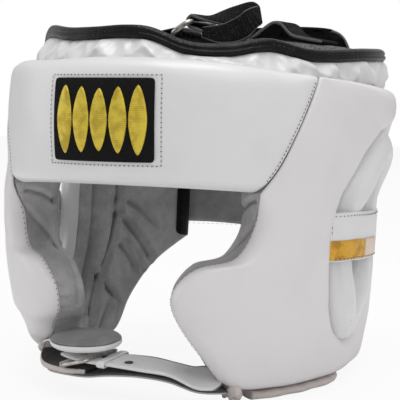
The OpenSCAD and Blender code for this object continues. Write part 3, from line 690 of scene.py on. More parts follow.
def offLine(points, x, y):  # distance to a line of points, plain and with the side as its sign
    near, beside = np.full(x.shape, 1e9), np.zeros(x.shape)
    for (x0, y0), (x1, y1) in zip(points[:-1], points[1:]):
        ax, ay, px, py = x1 - x0, y1 - y0, x - x0, y - y0
        u = np.clip((px * ax + py * ay) / (ax * ax + ay * ay), 0, 1)
        away = np.hypot(px - ax * u, py - ay * u)
        closer = away < near
        near = np.where(closer, away, near)
        beside = np.where(closer, np.sign(ax * py - ay * px) * away, beside)
    return near, beside


def bell(t):
    return np.exp(-(t ** 2))


# Creases of a face. Lines are points with a depth and a width: valleys with a ridge beside them, where the
# depth is positive. Ring is the width of a rounded band that the lining has behind the ear hole
crease = {"perDegree": 1.55, "rippleSize": 24, "ridgeOff": 1.9, "ridgeWide": 1.5, "ridge": 0.75,
          "edgeRidgeOff": 2.3, "edgeRidgeWide": 1.4, "edgeRidge": 0.45, "edgeReach": 5, "ringHigh": 1.5,
          "ringTheta": (78, 10), "backHigh": (3.5, 3)}


def creaseField(lines=(), swell=0.0, seed=1, ring=0):
    def field(theta, z, s, h):
        x = theta * crease["perDegree"]
        total = swell * ripple(x, z, seed, crease["rippleSize"])
        flat = below(h, crease["backHigh"])
        for points, depth, width in lines:
            near, beside = offLine(np.array(points) * (crease["perDegree"], 1), x, z)
            off, wide = crease["ridgeOff"] * width, crease["ridgeWide"] * width
            ridge = bell((beside - off) / wide) * bell((near - off) / wide)
            total = total + depth * (bell(near / width) - crease["ridge"] * ridge) * flat
        if ring:
            behind = beyond(theta, crease["ringTheta"]) * flat
            total = total - behind * crease["ringHigh"] * bell((s - ring / 2) / (ring / 3.2))
        return total
    return field


def edgeField(lines):  # creases in a lining's front edge, over height and depth behind the leather
    def field(z, h):
        total = np.zeros(z.shape)
        for points, depth, width in lines:
            near, beside = offLine(np.array(points, float), z, h)
            ridge = bell((beside - crease["edgeRidgeOff"] * width) / (crease["edgeRidgeWide"] * width))
            ridge = ridge * (near < 6 * width) * bell(near / (crease["edgeReach"] * width))
            total = total + depth * (bell(near / width) - crease["edgeRidge"] * ridge)
        return total
    return field


# Brow: its ends' thetas at the top and the foot, its patch, the stitched frame round the patch, and the stitches
# along its ends. Spans of thetas and heights are a start and a length
brow = {"seam": (57, 41.5), "gap": 0.1, "top": 174, "topFall": 9, "low": 107.5, "lowRise": 3.5, "thick": 26,
        "edge": 8, "stations": 49, "endDip": 0.7, "dipFrom": (0.97, 0.03), "edgeCut": 5.5,
        "cutFrom": (0.84, 0.16), "meanTheta": 49, "lowTheta": 41.3,
        "patchHalf": 13.9, "patchLow": 122.8, "patchHigh": 163.6, "patchProud": 1.5, "patchThick": 1.1,
        "frameHalf": 15.4, "frameLow": 121.3, "frameHigh": 164.8, "frameProud": 0.25, "seamProud": -0.1,
        "seamShares": (0.07, 0.95), "seamThetas": (40.5, 15.2), "seamZs": (108.2, 56.4)}
browLines = [([(-30, 112), (-24, 138), (-26, 165)], 1.2, 3), ([(18, 112), (22, 140), (16, 168)], 1.2, 3)]


def browTop(f):
    return brow["top"] - brow["topFall"] * f * f


def browLow(f):
    return brow["low"] + brow["lowRise"] * (1 - f * f)


def browRows():  # f runs from -1 to 1 across the brow
    rows = []
    for f in np.linspace(-1, 1, brow["stations"]):
        thick = brow["thick"] - brow["endDip"] * beyond(abs(f), brow["dipFrom"])
        edge = brow["edge"] - brow["edgeCut"] * beyond(abs(f), brow["cutFrom"])
        upper, lower = (f * (seam - brow["gap"]) for seam in brow["seam"])
        rows.append([upper, browTop(f), lower, browLow(f), thick, thick, brow["edge"], edge, 0, 0])
    return rows


def onBrow(theta, z, proud=0.0):  # point and outward direction on the brow's padded face
    theta, z = np.broadcast_arrays(np.asarray(theta, float), np.asarray(z, float))
    f = theta / brow["meanTheta"]
    for _ in range(4):
        share = np.clip((z - browLow(f)) / (browTop(f) - browLow(f)), 0.02, 0.98)
        f = theta / (brow["lowTheta"] + (brow["seam"][0] - brow["seam"][1]) * share)
    height = brow["thick"] + pad["swell"] * np.sin(math.pi * share) ** pad["fullness"] + proud
    spot = onHead(theta, z, height)
    return spot, unit(spot - onHead(theta, z, height - 5))


dressPad("brow", "brow", browRows(), "shell", creaseField((), 0.25, 3), creaseField(browLines, 0.5, 5))
print("brow")

# Woven patch on the brow, with a row of lozenges in gold yarn
patchThetas = np.linspace(-brow["patchHalf"], brow["patchHalf"], 17)
patchZs = np.linspace(brow["patchLow"], brow["patchHigh"], 13)
patchNet = onBrow(patchThetas[:, None], patchZs[None, :], brow["patchProud"])[0]
dress(makeSheet("browPatch", patchNet, brow["patchThick"]), "patch", "shell", ["brow_patch"])

# Steps of a lozenge's raised yarn are its share of the outline and of the height
lozenge = {"count": 5, "pitch": 4.95, "halfWide": 2.3, "halfHigh": 16.8, "shorter": 1.6, "middle": 143.2,
           "roundness": 1.25, "high": 0.7, "steps": ((1.0, 0), (0.97, 0.7), (0.86, 1), (0.5, 1.1))}


def yarnShape(name, outline):  # raised embroidery over an outline of theta and z points
    middle, count = outline.mean(0), len(outline)
    rings = []
    for grow, lift in lozenge["steps"]:
        ring = middle + (outline - middle) * grow
        rings.append(onBrow(ring[:, 0], ring[:, 1], brow["patchProud"] + lozenge["high"] * lift)[0])
    points = np.concatenate(rings)
    faces, last = netFaces(len(rings), count, True), (len(rings) - 1) * count
    outward = facesOutward(points, faces, awayFromAxis)
    faces.append(tuple(range(last, last + count)))
    piece = makePiece(name, points, faces if outward else [f[::-1] for f in faces])
    piece.data.shade_smooth()
    return dress(piece, "goldYarn", "shell")


def rounded(value):  # a sine or cosine drawn in towards a lozenge's points
    return np.sign(value) * abs(value) ** lozenge["roundness"]


middleOne = (lozenge["count"] - 1) / 2
for k in range(lozenge["count"]):
    high = lozenge["halfHigh"] - lozenge["shorter"] * (1 - abs(k - middleOne) / middleOne)
    across = (k - middleOne) * lozenge["pitch"] + lozenge["halfWide"] * rounded(np.cos(circle(15)))
    yarnShape(f"lozenge{k + 1}", np.stack([across, lozenge["middle"] + high * rounded(np.sin(circle(15)))], -1))


def browFrame(half, low, high, across=1.0, along=2):  # once round the patch
    walk = [(t, low) for t in np.arange(-half, half, across)] + [(half, z) for z in np.arange(low, high, along)]
    walk += [(t, high) for t in np.arange(half, -half, -across)]
    walk += [(-half, z) for z in np.arange(high, low, -along)]
    walk = np.array(walk + [walk[0]])
    return onBrow(walk[:, 0], walk[:, 1], brow["frameProud"])


stitchRow("patchStitches", *browFrame(brow["frameHalf"], brow["frameLow"], brow["frameHigh"]), "shell")
shares = np.linspace(*brow["seamShares"], 40)
seamThetas, seamZs = (start + span * shares for start, span in (brow["seamThetas"], brow["seamZs"]))
for name, sign in (("leftSeamStitches", 1), ("rightSeamStitches", -1)):
    stitchRow(name, *onBrow(sign * seamThetas, seamZs, brow["seamProud"]), "shell", pitch=2.1, thick=0.8)
print("patch and seam stitches")

# Side pads round their ear holes. A 1 at the end of a row makes it a corner
side = {"rows": 8, "liningRows": 20, "liningFine": 52, "foamRows": 4, "edgeRows": 4, "earBand": 17,
        "footRows": slice(6, 11), "footShares": (0.1, 0.6, 1.0, 0.8, 0.3), "rightForward": 2.2}
sideTable = [
    [57, 165, 87, 136, 25, 26, 7, 1.4, 0, 0, 1], [49.25, 136.25, 77, 124, 25, 28.2, 7, 1.4, 0, 0, 0],
    [41.5, 107.5, 70.5, 106, 25, 26, 7, 1.4, 0, 0, 1], [42.5, 92.4, 67.5, 89, 25, 26, 7, 8, 0, 0, 0],
    [37, 75.5, 67, 76, 25, 26, 7, 8, 0, 0, 0], [26, 70.5, 67, 68, 25, 26, 7, 8, 0, 0, 0],
    [19.5, 59, 67.3, 61, 25, 26, 7, 8, 0, 0, 0], [20, 46, 68, 53, 25, 26, 7, 8, 0, 0, 0],
    [27, 26, 69.5, 44, 24, 26, 7, 8, 0, 0, 0], [36, 8.5, 72.5, 35, 23, 24, 7, 8, 0, 0, 0],
    [52, 5.5, 76, 30, 22, 22, 7, 8, 0, 0, 0], [75, 5.5, 80, 27.5, 20, 21, 7, 6, 0, 0, 0],
    [91, 5.5, 85, 29, 19, 19.5, 7, 6, 0, 0, 0], [104, 8, 88.5, 35.5, 18, 19, 7, 7, 0, 0, 0],
    [114, 26, 91.5, 43, 18, 18, 7, 6, 0, 0, 0], [127, 46, 95, 58, 16.8, 15, 7, 5, 0, 0, 0],
    [143, 63, 97, 77, 16.8, 13, 7, 5, 0, 0, 1], [144, 100, 98.5, 98, 16.8, 13, 7, 4, 0, 0, 0],
    [144, 156, 100.5, 128, 18, 14, 7, 5, 0, 0, 1], [118, 159, 97, 137, 21, 19, 7, 6, 0, 0, 0],
    [88, 161, 92, 138, 25, 25, 7, 7, 0, 0, 0]]


def sideRows(lift, perStep, forward=0):
    rows = np.array(sideTable, float)
    rows[side["footRows"], 0] -= forward * np.array(side["footShares"])
    made = resample(rows, perStep, True, np.flatnonzero(rows[:, 10]))
    made[:, 9] = lift
    return made.tolist()


# Folds of the lining, as theta and z points with a depth and a width: a sewn line round the ear hole and
# creases off it, then creases of the cheek, then creases of the front edge as points of height and depth
rearFolds = [([(99, 147), (106, 138), (111, 120), (110, 97), (109, 85.5), (108, 75), (105.5, 64), (101, 52.5),
               (95.5, 43), (91, 33), (86, 22)], 3.2, 2.0),
             ([(109.5, 79), (114.5, 73), (119, 63.5), (124, 51.5)], 2.2, 2.5),
             ([(115.5, 86), (120.5, 81.5), (126, 73)], 1.7, 2.5),
             ([(110.5, 60), (114, 53.5), (116.5, 46)], 1.9, 2.2),
             ([(113.5, 62), (118.5, 54.5), (120.5, 46.5)], 1.5, 2.2),
             ([(95.5, 43), (100, 37), (104, 30)], 2.4, 2.2),
             ([(111.5, 90), (118, 88), (127, 80)], 1.1, 2.6), ([(106, 112), (116, 118), (128, 116)], 1.2, 2.6),
             ([(100, 24), (95, 15), (92, 9)], 1.5, 2.2), ([(88, 24), (84, 15), (80, 9)], 1.5, 2.2)]
cheekFolds = [([(66, 92), (56, 82), (48, 66), (40, 48)], 1.8, 2.4), ([(66, 76), (57, 64), (50, 46)], 1.5, 2.4),
              ([(42, 100), (50, 92), (60, 96)], 1.6, 2.2), ([(30, 62), (38, 50), (44, 34)], 1.6, 2.2),
              ([(24, 52), (32, 40), (38, 24)], 1.2, 2.0), ([(60, 100), (52, 97), (44, 97)], 1.2, 1.8)]
edgeFolds = [([(103.3, 17), (103, 14), (101.2, 8), (97.6, 2)], 2.0, 1.3),
             ([(93.6, 18), (92.7, 17), (86.7, 11.5), (79.4, 6), (74, 3.5)], 1.5, 1.5),
             ([(88, 18), (83, 13), (77, 9)], 0.8, 3.2), ([(74, 4), (66, 4.5), (56, 5), (46, 6.5)], 1.2, 1.3),
             ([(58, 17), (55.5, 12)], 1.0, 1.0), ([(51, 17), (50, 12)], 0.9, 1.0),
             ([(45, 16), (44.5, 11)], 0.9, 1.0)]


def sidePad(name, turn, lift, forward, seed):
    cover = padNet(sideRows(lift, side["rows"], forward), "cover", creaseField((), 0.35, seed))
    noted = []
    creases = creaseField(rearFolds + cheekFolds, 0.5, seed + 1, side["earBand"])
    lining = padNet(sideRows(lift, side["liningRows"], forward), "lining", creases, fine=side["liningFine"],
                    noted=noted, edgeCreases=edgeField(edgeFolds))
    foam = padNet(sideRows(lift, side["foamRows"], forward), "foam")
    dress(makeSheet(f"{name}SideCover", turn(cover), pad["skin"], along=True), "cheek", "shell",
          [f"{name}_side_cover"])
    dress(makeSheet(f"{name}SideLining", turn(lining), pad["liningThick"], along=True, levels=0, inward=True,
                    folds=noted), "suede", "shell", [f"{name}_side_lining"])
    dress(makeTube(f"{name}SideFoam", turn(foam), along=True, levels=0), "foam", "shell", [f"{name}_side_foam"])


def cheekStitches(name, turn, lift, forward):  # where the leather meets the lining, from the eye down
    edge, outs = [], []
    for row in sideRows(lift, side["edgeRows"], forward):
        if row[0] < 46 and 12 < row[1] < 100:
            line = padLine(row, "cover")
            edge.append(line[-2] * 0.75 + line[-3] * 0.25)
            outs.append(line[-2] - line[len(line) // 2])
    stitchRow(f"{name}CheekStitches", turn(edge), turn(outs), "shell", pitch=3.0, long=0.9, thick=0.8)


# Rolled hem along the bottom: its section is how far out from the head and the share of its height
hem = {"leftThetas": (44, 85.5), "rightThetas": (47, 93), "stations": 60, "high": 5.2, "most": 5.35,
       "middle": 11, "section": [[4.2, 0.45], [5, 0.12], [7, 0.02], [11, 0], [15, 0.02], [18, 0.1],
                                 [19.4, 0.42], [18.6, 0.85], [15, 1], [9, 1], [5, 0.9]]}


def sideHem(name, turn, lift, thetas, seed):
    section = np.array(hem["section"])
    net = []
    for t in np.linspace(*thetas, hem["stations"]):
        wave = 1 + 0.05 * math.sin(t * 0.9 + seed) + 0.04 * math.sin(t * 1.7)
        rise = section[:, 1] * hem["high"] * np.where(section[:, 1] > 0.2, wave, 1)
        out = section[:, 0] + 0.5 * math.sin(t * 0.55 + seed) * (section[:, 0] > 12)
        out = hem["middle"] + (out - hem["middle"]) * (0.55 + 0.45 * ease((thetas[1] - t) / 6))
        net.append(onHead(t, np.minimum(rise, hem["most"]), out, lift))
    dress(makeTube(f"{name}Hem", turn(net)), "cream", "shell", [f"{name}_hem"])


for name, flip in sides:
    turn, lift, seed = (mirrored, head["rightLift"], 23) if flip else (np.asarray, head["leftLift"], 11)
    forward = side["rightForward"] if flip else 0
    sidePad(name, turn, lift, forward, seed)
    cheekStitches(name, turn, lift, forward)
    sideHem(name, turn, lift, hem["rightThetas"] if flip else hem["leftThetas"], seed)
print("side pads")

# Ear rolls: centre line as theta, z, distance out and share of the width. Gathers are deepest above and below
# the band that presses the roll. LinerHalf is half the angle of the roll's inner face
ear = {"wide": 20, "linerHalf": 45, "lap": 2, "linerGap": 1, "linerIn": 0.3, "skin": 1.2, "coreIn": 2.2,
       "coreEnd": 300, "middleZ": 83, "turnZ": 17, "turnSpan": 16,
       "bandSpan": 20, "pressed": 0.7, "pinches": ((3, 0.35, 0.22), (5, -0.22, 0.16)), "gathers": (0.75, 0.5)}
rollTable = [[73.2, 70, 14.8, 1.07], [73.6, 88, 14.8, 1.03], [78, 105.5, 17, 1.15], [83.8, 118.5, 16.5, 1.08],
             [91.2, 127.6, 14.8, 1.1], [97.2, 120.5, 13.2, 1.1], [95, 98, 11.5, 1], [93.4, 76, 11.5, 1],
             [91.4, 59, 13, 0.97], [86.7, 43, 14, 0.95], [80.6, 34, 15, 1.05], [75.2, 49, 16, 1.17]]


def rollPinch(w, i, seed, offMiddle):  # how far the leather is drawn in or swells round one ring of the roll
    (count, lean, size), (count2, lean2, size2) = ear["pinches"]
    pinch = np.sin(w * count + i * lean + seed) * size + np.sin(w * count2 + i * lean2) * size2
    gathered = ease(1 - abs(offMiddle - ear["turnZ"]) / ear["turnSpan"])
    folds = ear["gathers"][0] * abs(np.sin(w * 3.1 + seed + 0.06 * i)) ** 6
    return pinch - gathered * (folds + ear["gathers"][1] * abs(np.sin(w * 4.3 + 1)) ** 8)


def rollRings(start, end, steps, inset, seed, plump=0.0):
    path = resample(rollTable, 5, True)
    middle, out = offHead(*path[:, :3].T)
    out = unit(out)
    across = unit(np.cross(np.roll(middle, -1, 0) - np.roll(middle, 1, 0), out))
    w = np.radians(np.linspace(start, end, steps))
    rings = []
    for i, (spot, share) in enumerate(zip(middle, path[:, 3])):
        offMiddle = abs(path[i, 1] - ear["middleZ"])
        pressed = ear["pressed"] * ease(1 - offMiddle / ear["bandSpan"])
        size = share * ear["wide"] / 2 - inset + plump * (rollPinch(w, i, seed, offMiddle) - pressed)
        rings.append(spot + across[i] * (size * np.cos(w))[:, None] + out[i] * (size * np.sin(w))[:, None])
    return np.array(rings)


for (name, flip), seed in zip(sides, (0.4, 2.1)):
    turn = mirrored if flip else np.asarray
    half, lap, gap = ear["linerHalf"], ear["lap"], ear["linerGap"]
    roll = turn(rollRings(half - 90 - lap, 270 - half + lap, 34, 0, seed, 1.0))
    liner = turn(rollRings(270 - half + gap, 270 + half - gap, 9, ear["linerIn"], seed))
    core = turn(rollRings(0, ear["coreEnd"], 6, ear["coreIn"], seed))
    dress(makeSheet(f"{name}EarRoll", roll, ear["skin"], along=True), "soft", "shell", [f"{name}_ear_roll"])
    dress(makeSheet(f"{name}EarLiner", liner, ear["skin"], along=True, inward=True), "suede", "shell",
          [f"{name}_ear_liner"])
    dress(makeTube(f"{name}EarCore", core, along=True, levels=0), "foam", "shell", [f"{name}_ear_core"])

# Bands over the ear rolls, with their ribbons: a gold front part and a pale rear one
band = {"low": 70, "high": 96, "thick": 1.8, "from": 64.5, "to": 108, "drop": 0.13, "dropFrom": 74,
        "dropTo": 104, "ribbonFrom": 64.9, "ribbonTo": 96, "goldTo": 79, "ribbonLow": 71, "ribbonHigh": 81.5,
        "ribbonGap": 0.15, "ribbonProud": 0.95, "ribbonThick": 0.7, "threadProud": 0.1,
        "off": [[64.5, 22], [70, 25.3], [78, 25.3], [86, 22.5], [92, 20.3], [99, 17.6], [109, 16.8]]}
bandStitches = (("BandTopStitches", (65.5, 107), (94, 94)), ("RibbonLowStitches", (65.5, 95.5), (71.9, 71.9)),
                ("BandFrontStitches", (65.8, 65.8), (83, 95.5)))


def onBand(theta, z, proud):
    dropped = z - band["drop"] * (np.clip(theta, band["dropFrom"], band["dropTo"]) - band["dropFrom"])
    return onHead(theta, dropped, curveThrough(theta, band["off"]) + band["thick"] + proud)


def earBand(name, turn):
    thetas = np.linspace(band["from"], band["to"], 34)[:, None]
    zs = np.linspace(band["low"], band["high"], 9)[None, :]
    net = onBand(thetas, zs, 0.25 * ripple(thetas * 1.6, zs, 8, 16))
    dress(makeSheet(f"{name}EarBand", turn(net), band["thick"]), "white", "shell", [f"{name}_ear_band"])
    zs = np.linspace(band["ribbonLow"], band["ribbonHigh"], 5)
    for part, finish, start, end, nodes in (
            ("Ribbon", "gold", band["ribbonFrom"], band["goldTo"], [f"{name}_ear_stripe"]),
            ("PaleRibbon", "paleRibbon", band["goldTo"] + band["ribbonGap"], band["ribbonTo"], [])):
        net = onBand(np.linspace(start, end, 16)[:, None], zs[None, :], band["ribbonProud"])
        dress(makeSheet(f"{name}{part}", turn(net), band["ribbonThick"]), finish, "shell", nodes)
    for label, thetas, zs in bandStitches:
        thetas, zs = np.linspace(*thetas, 40), np.linspace(*zs, 40)
        proud = band["threadProud"] + (band["ribbonProud"] if "Ribbon" in label else 0)
        spots = onBand(thetas, zs, proud)
        outs = onBand(thetas, zs, proud + 5) - spots
        stitchRow(f"{name}{label}", turn(spots), turn(outs), "shell", pitch=2.6, long=1.7, thick=0.8)


for name, flip in sides:
    earBand(name, mirrored if flip else np.asarray)
print("ears")

# Upper back pad between the two sides
backPad = {"thetas": (144.4, 214.6), "top": 156, "low": 112, "thick": 14, "round": 5, "stations": 33}
backLines = [([(160, 114), (164, 134), (161, 155)], 1.3, 3), ([(190, 114), (186, 135), (192, 155)], 1.3, 3)]
rows = [[t, backPad["top"], t, backPad["low"], *[backPad["thick"]] * 2, *[backPad["round"]] * 2, 0, 0]
        for t in np.linspace(*backPad["thetas"], backPad["stations"])]
dressPad("backPad", "back_pad", rows, "shell", creaseField((), 0.3, 31), creaseField(backLines, 0.4, 33))

# Back band, sewn on the left and closed by its hook patch on the loop patch of the right side
closure = {"low": 66, "lowRise": 5.5, "riseFrom": (150, 60), "high": 108, "thick": 5.6, "round": 3.5,
           "thetas": (146, 242), "stations": 57, "sewnOff": 3, "patchOff": 3.1, "patchThetas": (222, 232, 242),
           "hookThetas": (222, 240), "hookInset": 6, "hookIn": 0.4, "loopThetas": (140, 116), "loopInset": 4,
           "loopOut": 1.3, "patchThick": 0.9, "stitchThetas": (148, 240), "stitchInset": 3.4}
sideOff = [(102, 18.5), (113.333, 19.067), (128.667, 17.733), (141, 14)]  # height of the right side's face


def sideFace(theta):
    return np.interp(theta, *np.array(sideOff).T)


bandOff = [[146, closure["sewnOff"]], [196, closure["sewnOff"]]]
bandOff += [[t, float(sideFace(360 - t)) + closure["patchOff"]] for t in closure["patchThetas"]]
rows = [[t, closure["high"], t, closure["low"] + closure["lowRise"] * float(beyond(t, closure["riseFrom"])),
         *[closure["thick"]] * 2, *[closure["round"]] * 2, float(curveThrough(t, bandOff)), 0]
        for t in np.linspace(*closure["thetas"], closure["stations"])]


def bandRipple(theta, z, s, h):
    return 0.3 * ripple(theta * 1.6, z, 41, 30)


dressPad("backBand", "back_band", rows, "back_band", bandRipple, foamStep=4)
thetas = np.linspace(*closure["hookThetas"], 13)[:, None]
zs = np.linspace(closure["low"] + closure["hookInset"], closure["high"] - closure["hookInset"], 9)[None, :]
net = onHead(thetas, zs, curveThrough(thetas, bandOff) - closure["hookIn"])
dress(makeSheet("hookPatch", net, closure["patchThick"]), "hook", "back_band", ["hook_patch"])
thetas = np.linspace(*closure["loopThetas"], 17)[:, None]
zs = np.linspace(closure["low"] + closure["loopInset"], closure["high"] - closure["loopInset"], 9)[None, :]
net = mirrored(onHead(thetas, zs, sideFace(thetas) + closure["loopOut"]))
dress(makeSheet("loopPatch", net, closure["patchThick"]), "hook", "shell", ["loop_patch"])
thetas = np.linspace(*closure["stitchThetas"], 80)
for label, z in (("bandTopStitches", closure["high"] - closure["stitchInset"]),
                 ("bandLowStitches", closure["low"] + closure["stitchInset"])):
    stitchRow(label, *offHead(thetas, z, curveThrough(thetas, bandOff) + closure["thick"] + 1.0), "back_band",
              pitch=3.2, long=2.1, holes=False)

# Binding over the right side's back edge, wrapped from its cover round to its lining
edgeBinding = {"fromTheta": 142.8, "zs": (62.5, 157), "grow": 1.6, "thick": 1.0}
net = []
for row in sideRows(0, side["edgeRows"]):
    if row[0] > edgeBinding["fromTheta"] and edgeBinding["zs"][0] < row[1] < edgeBinding["zs"][1]:
        trail = np.concatenate([padLine(row, "cover")[-9:-1:2], padLine(row, "lining")[1:9:2]])
        off = trail - trail.mean(0)
        net.append(trail + unit(off) * edgeBinding["grow"])
dress(makeSheet("rightEdgeBinding", mirrored(net), edgeBinding["thick"], backward), "vinyl", "shell",
      ["right_edge_binding"])
print("back")

# Crown: its bound edge as theta with z and with the distance out, and the pads' top that the skirt rises from
crown = {"ringSteps": 400, "bindingHalf": 3.5, "bindingOut": 3.0,
         "bindingZ": [[-180, 172], [-144, 172], [-112, 175], [-87, 177.3], [-66, 180], [-50, 185.6], [-12, 186],
                      [0, 186.5], [9, 185.3], [21, 178.5], [34, 177.5], [48, 180.5], [63, 176], [87, 177.5],
                      [112, 178], [144, 173], [180, 172]],
         "bindingOff": [[0, 6], [50, 6], [88, 16], [120, 15], [150, 9], [180, 8]],
         "rightOut": (2.2, -92, 24), "dents": ((0.34, 4, 9), (0.2, -48, 7)), "wobble": 0.25, "gather": 0.15,
         "threadOut": 2.1, "threadUp": 0.42,
         "padTop": [[0, 174], [30, 171.5], [57, 165], [88, 161], [118, 159], [144, 156]],
         "edgeZ": 178, "edgeIn": 3.7, "domeTop": 187.5, "rearTop": 195, "rearEdge": 0.55, "panelThick": 1.6}


def turned(theta):  # from -180 to 180
    theta = np.asarray(theta, float)
    return np.where(theta > 180, theta - 360, theta)


def padTop(theta):
    return curveThrough(np.abs(turned(theta)), crown["padTop"])


def bindingMid(theta):
    return curveThrough(turned(theta), crown["bindingZ"])


def bindingOff(theta):
    theta = turned(theta)
    size, middle, span = crown["rightOut"]
    return curveThrough(np.abs(theta), crown["bindingOff"]) + size * bell((theta - middle) / span)


ringThetas = np.arange(crown["ringSteps"]) * 360 / crown["ringSteps"]
ringTurns = np.radians(ringThetas)

# Gathered skirt. Folds are a count round the crown, a phase, a lean and a depth; taut is where and over how
# much of the right side it is drawn flat
skirt = {"foot": 14, "footIn": 3, "brimOut": 0.6, "lap": 1.6, "tuck": 0.6, "swell": 1.8, "swellShare": 0.12,
         "slack": 0.9, "taut": (-95, 38), "depth": 1.75, "thick": 1.0, "rows": 14,
         "folds": ((8, 0.4, 1.2, 0.8), (13, 1.9, -1.6, 0.75), (22, 0.7, 2.2, 0.55), (37, 2.6, -1.2, 0.4))}


def skirtFolds(u):  # sharp where the leather is pinched into the binding
    total = 0
    for count, phase, lean, size in skirt["folds"]:
        bent = count * ringTurns + phase + lean * u + 0.8 * np.sin(3 * ringTurns + phase)
        total = total + size * (1 - 2 * abs(np.sin(bent)) ** 0.8)
    return total


def skirtNet():
    low, high = padTop(ringThetas) - skirt["lap"], bindingMid(ringThetas) - crown["bindingHalf"] + skirt["tuck"]
    taut = bell((turned(ringThetas) - skirt["taut"][0]) / skirt["taut"][1])
    foot, brim = skirt["foot"] - skirt["footIn"] * taut, bindingOff(ringThetas) + skirt["brimOut"]
    fullness = (skirt["swell"] + skirt["swellShare"] * (high - low)) * (1 - skirt["slack"] * taut)
    net = []
    for u in np.linspace(0, 1, skirt["rows"]):
        swell = fullness * np.sin(math.pi * u) ** 0.7
        swell = swell + skirt["depth"] * skirtFolds(u) * math.sin(math.pi * (0.06 + 0.86 * u))
        net.append(onHead(ringThetas, low + (high - low) * u, foot + (brim - foot) * u + swell))
    return np.array(net).transpose(1, 0, 2)


crownSkirt = dress(makeSheet("crownSkirt", skirtNet(), skirt["thick"], along=True), "soft", "shell",
                   ["crown_skirt"])


def bindingRings():  # an oval section with two pressed lines, uneven where the skirt's gathers end
    angles = circle(9)
    out, up = crown["bindingOut"] * np.cos(angles), crown["bindingHalf"] * np.sin(angles)
    wrapped = (np.degrees(angles) + 180) % 360 - 180
    for size, middle, span in crown["dents"]:
        out = out - crown["bindingOut"] * np.cos(angles) * size * bell((wrapped - middle) / span)
    gather = 0.55 * np.sin(11 * ringTurns + 0.6) + 0.5 * np.sin(17 * ringTurns + 2.1 * np.sin(ringTurns * 2))
    wobble = crown["wobble"] * np.sin(ringTurns * 9) + crown["gather"] * gather
    middle, off = bindingMid(ringThetas)[:, None], (bindingOff(ringThetas) + wobble)[:, None]
    return onHead(ringThetas[:, None], middle + up, off + out)


dress(makeTube("crownBinding", bindingRings(), along=True), "vinyl", "shell", ["crown_binding"])
thetas = np.linspace(0, 360, 400)
threadOut = bindingOff(thetas) + crown["threadOut"] + crown["wobble"] * np.sin(np.radians(thetas) * 9)
stitchRow("bindingStitches", *offHead(thetas, bindingMid(thetas) + crown["threadUp"], threadOut), "shell",
          pitch=3.0, long=2.4, thick=0.6, holes=False, thread="edgingAndShade")


def onDome(theta, share, up, rear=False):  # share runs from the edge at 1 to the middle at 0
    theta, share = np.broadcast_arrays(np.asarray(theta, float), np.asarray(share, float))
    edge = onHead(theta, crown["edgeZ"], bindingOff(theta) - crown["edgeIn"])
    if rear:
        u = (share - crown["rearEdge"]) / (1 - crown["rearEdge"])
        z = crown["rearTop"] + (bindingMid(theta) - crown["rearTop"]) * np.clip(u, 0, 1) ** 9
    else:
        z = crown["domeTop"] + (bindingMid(theta) - crown["domeTop"]) * share ** 2
    return np.stack([edge[..., 0] * share, edge[..., 1] * share, z + up], -1)


# Crown panels: finish, slot, thetas, share left to the middle, whether it is the rear one, cut size and area
crownPanels = {
    "left": ("mesh", "black_mesh", (58, 116), 0.45, False, (0.06, 0.09), 0.004),
    "right": ("mesh", "black_mesh", (238, 302), 0.2, False, (0.08, 0.1), 0.0053),
    "rear": ("vinyl", "black_vinyl", (137, 230), 0.55, True, (0.065, 0.13), 0.0067)}
for name, (finish, slotName, ends, inner, rear, cut, area) in crownPanels.items():
    thetas, shares = np.linspace(*ends, 30)[:, None], np.linspace(1, inner, 16)[None, :]
    wave = 0.35 * ripple(thetas * 1.6, shares * 90, 51, 22)
    lower = 0 if rear else 1.6 * (1 - shares)
    net = onDome(thetas, shares, crown["panelThick"] + wave - lower, rear)
    panel = dress(makeSheet(f"{name}CrownPanel", net, crown["panelThick"], upward), finish, "shell",
                  [f"{name}_crown_panel"])

# Raw end of the rear panel and the line of stitches beside it
flap = {"endThetas": (136.2, 139.8), "endShares": (0.971, 0.846), "endUp": -0.4, "endThick": 1.0,
        "lineThetas": (146, 172), "lineShare": 0.94, "lineUp": -0.5}
thetas, shares = np.linspace(*flap["endThetas"], 5)[:, None], np.linspace(*flap["endShares"], 12)[None, :]
net = onDome(thetas, shares, flap["endUp"], True)
dress(makeSheet("rearFlapEnd", net, flap["endThick"], inward=True), "paleEnd", "shell", [])
line = onDome(np.linspace(*flap["lineThetas"], 30), flap["lineShare"], flap["lineUp"], True)
stitchRow("flapStitches", line, -awayFromAxis(line), "shell", pitch=3.4, long=2.2, thick=0.5, holes=False)

elastic = {"thetas": (118, 135.5), "inner": 0.62, "ribs": 11, "stepsPerRib": 4, "ribHigh": 0.45, "thick": 1.3}
shares = np.linspace(1, elastic["inner"], elastic["ribs"] * elastic["stepsPerRib"] + 1)
ribs = elastic["ribHigh"] * np.cos(np.linspace(0, elastic["ribs"] * 2 * math.pi, len(shares)))
net = onDome(np.linspace(*elastic["thetas"], 9)[:, None], shares[None, :], crown["panelThick"] + ribs)
panel = dress(makeSheet("crownElastic", net, elastic["thick"], upward), "elastic", "shell", ["crown_elastic"])


# Straps
def ribbonNet(rows, perStep, across=7):  # rows of two edge points, smoothed to a net
    rows = resample(np.array(rows, float).reshape(len(rows), 6), perStep).reshape(-1, 2, 3)
    shares = np.linspace(0, 1, across)[None, :, None]
    return rows[:, :1] * (1 - shares) + rows[:, 1:] * shares


def strapRows(table):  # x, y, z, slope of the width and width, to rows of two edge points
    table = np.array(table, float)
    rows = []
    for spot, way, slope, wide in zip(table[:, :3], np.gradient(table[:, :3], axis=0), np.radians(table[:, 3]),
                                      table[:, 4]):
        flat = np.array([-way[1], way[0]]) / math.hypot(way[0], way[1])
        span = np.array([*flat * math.cos(slope), -math.sin(slope)]) * wide / 2
        rows.append([spot - span, spot + span])
    return rows


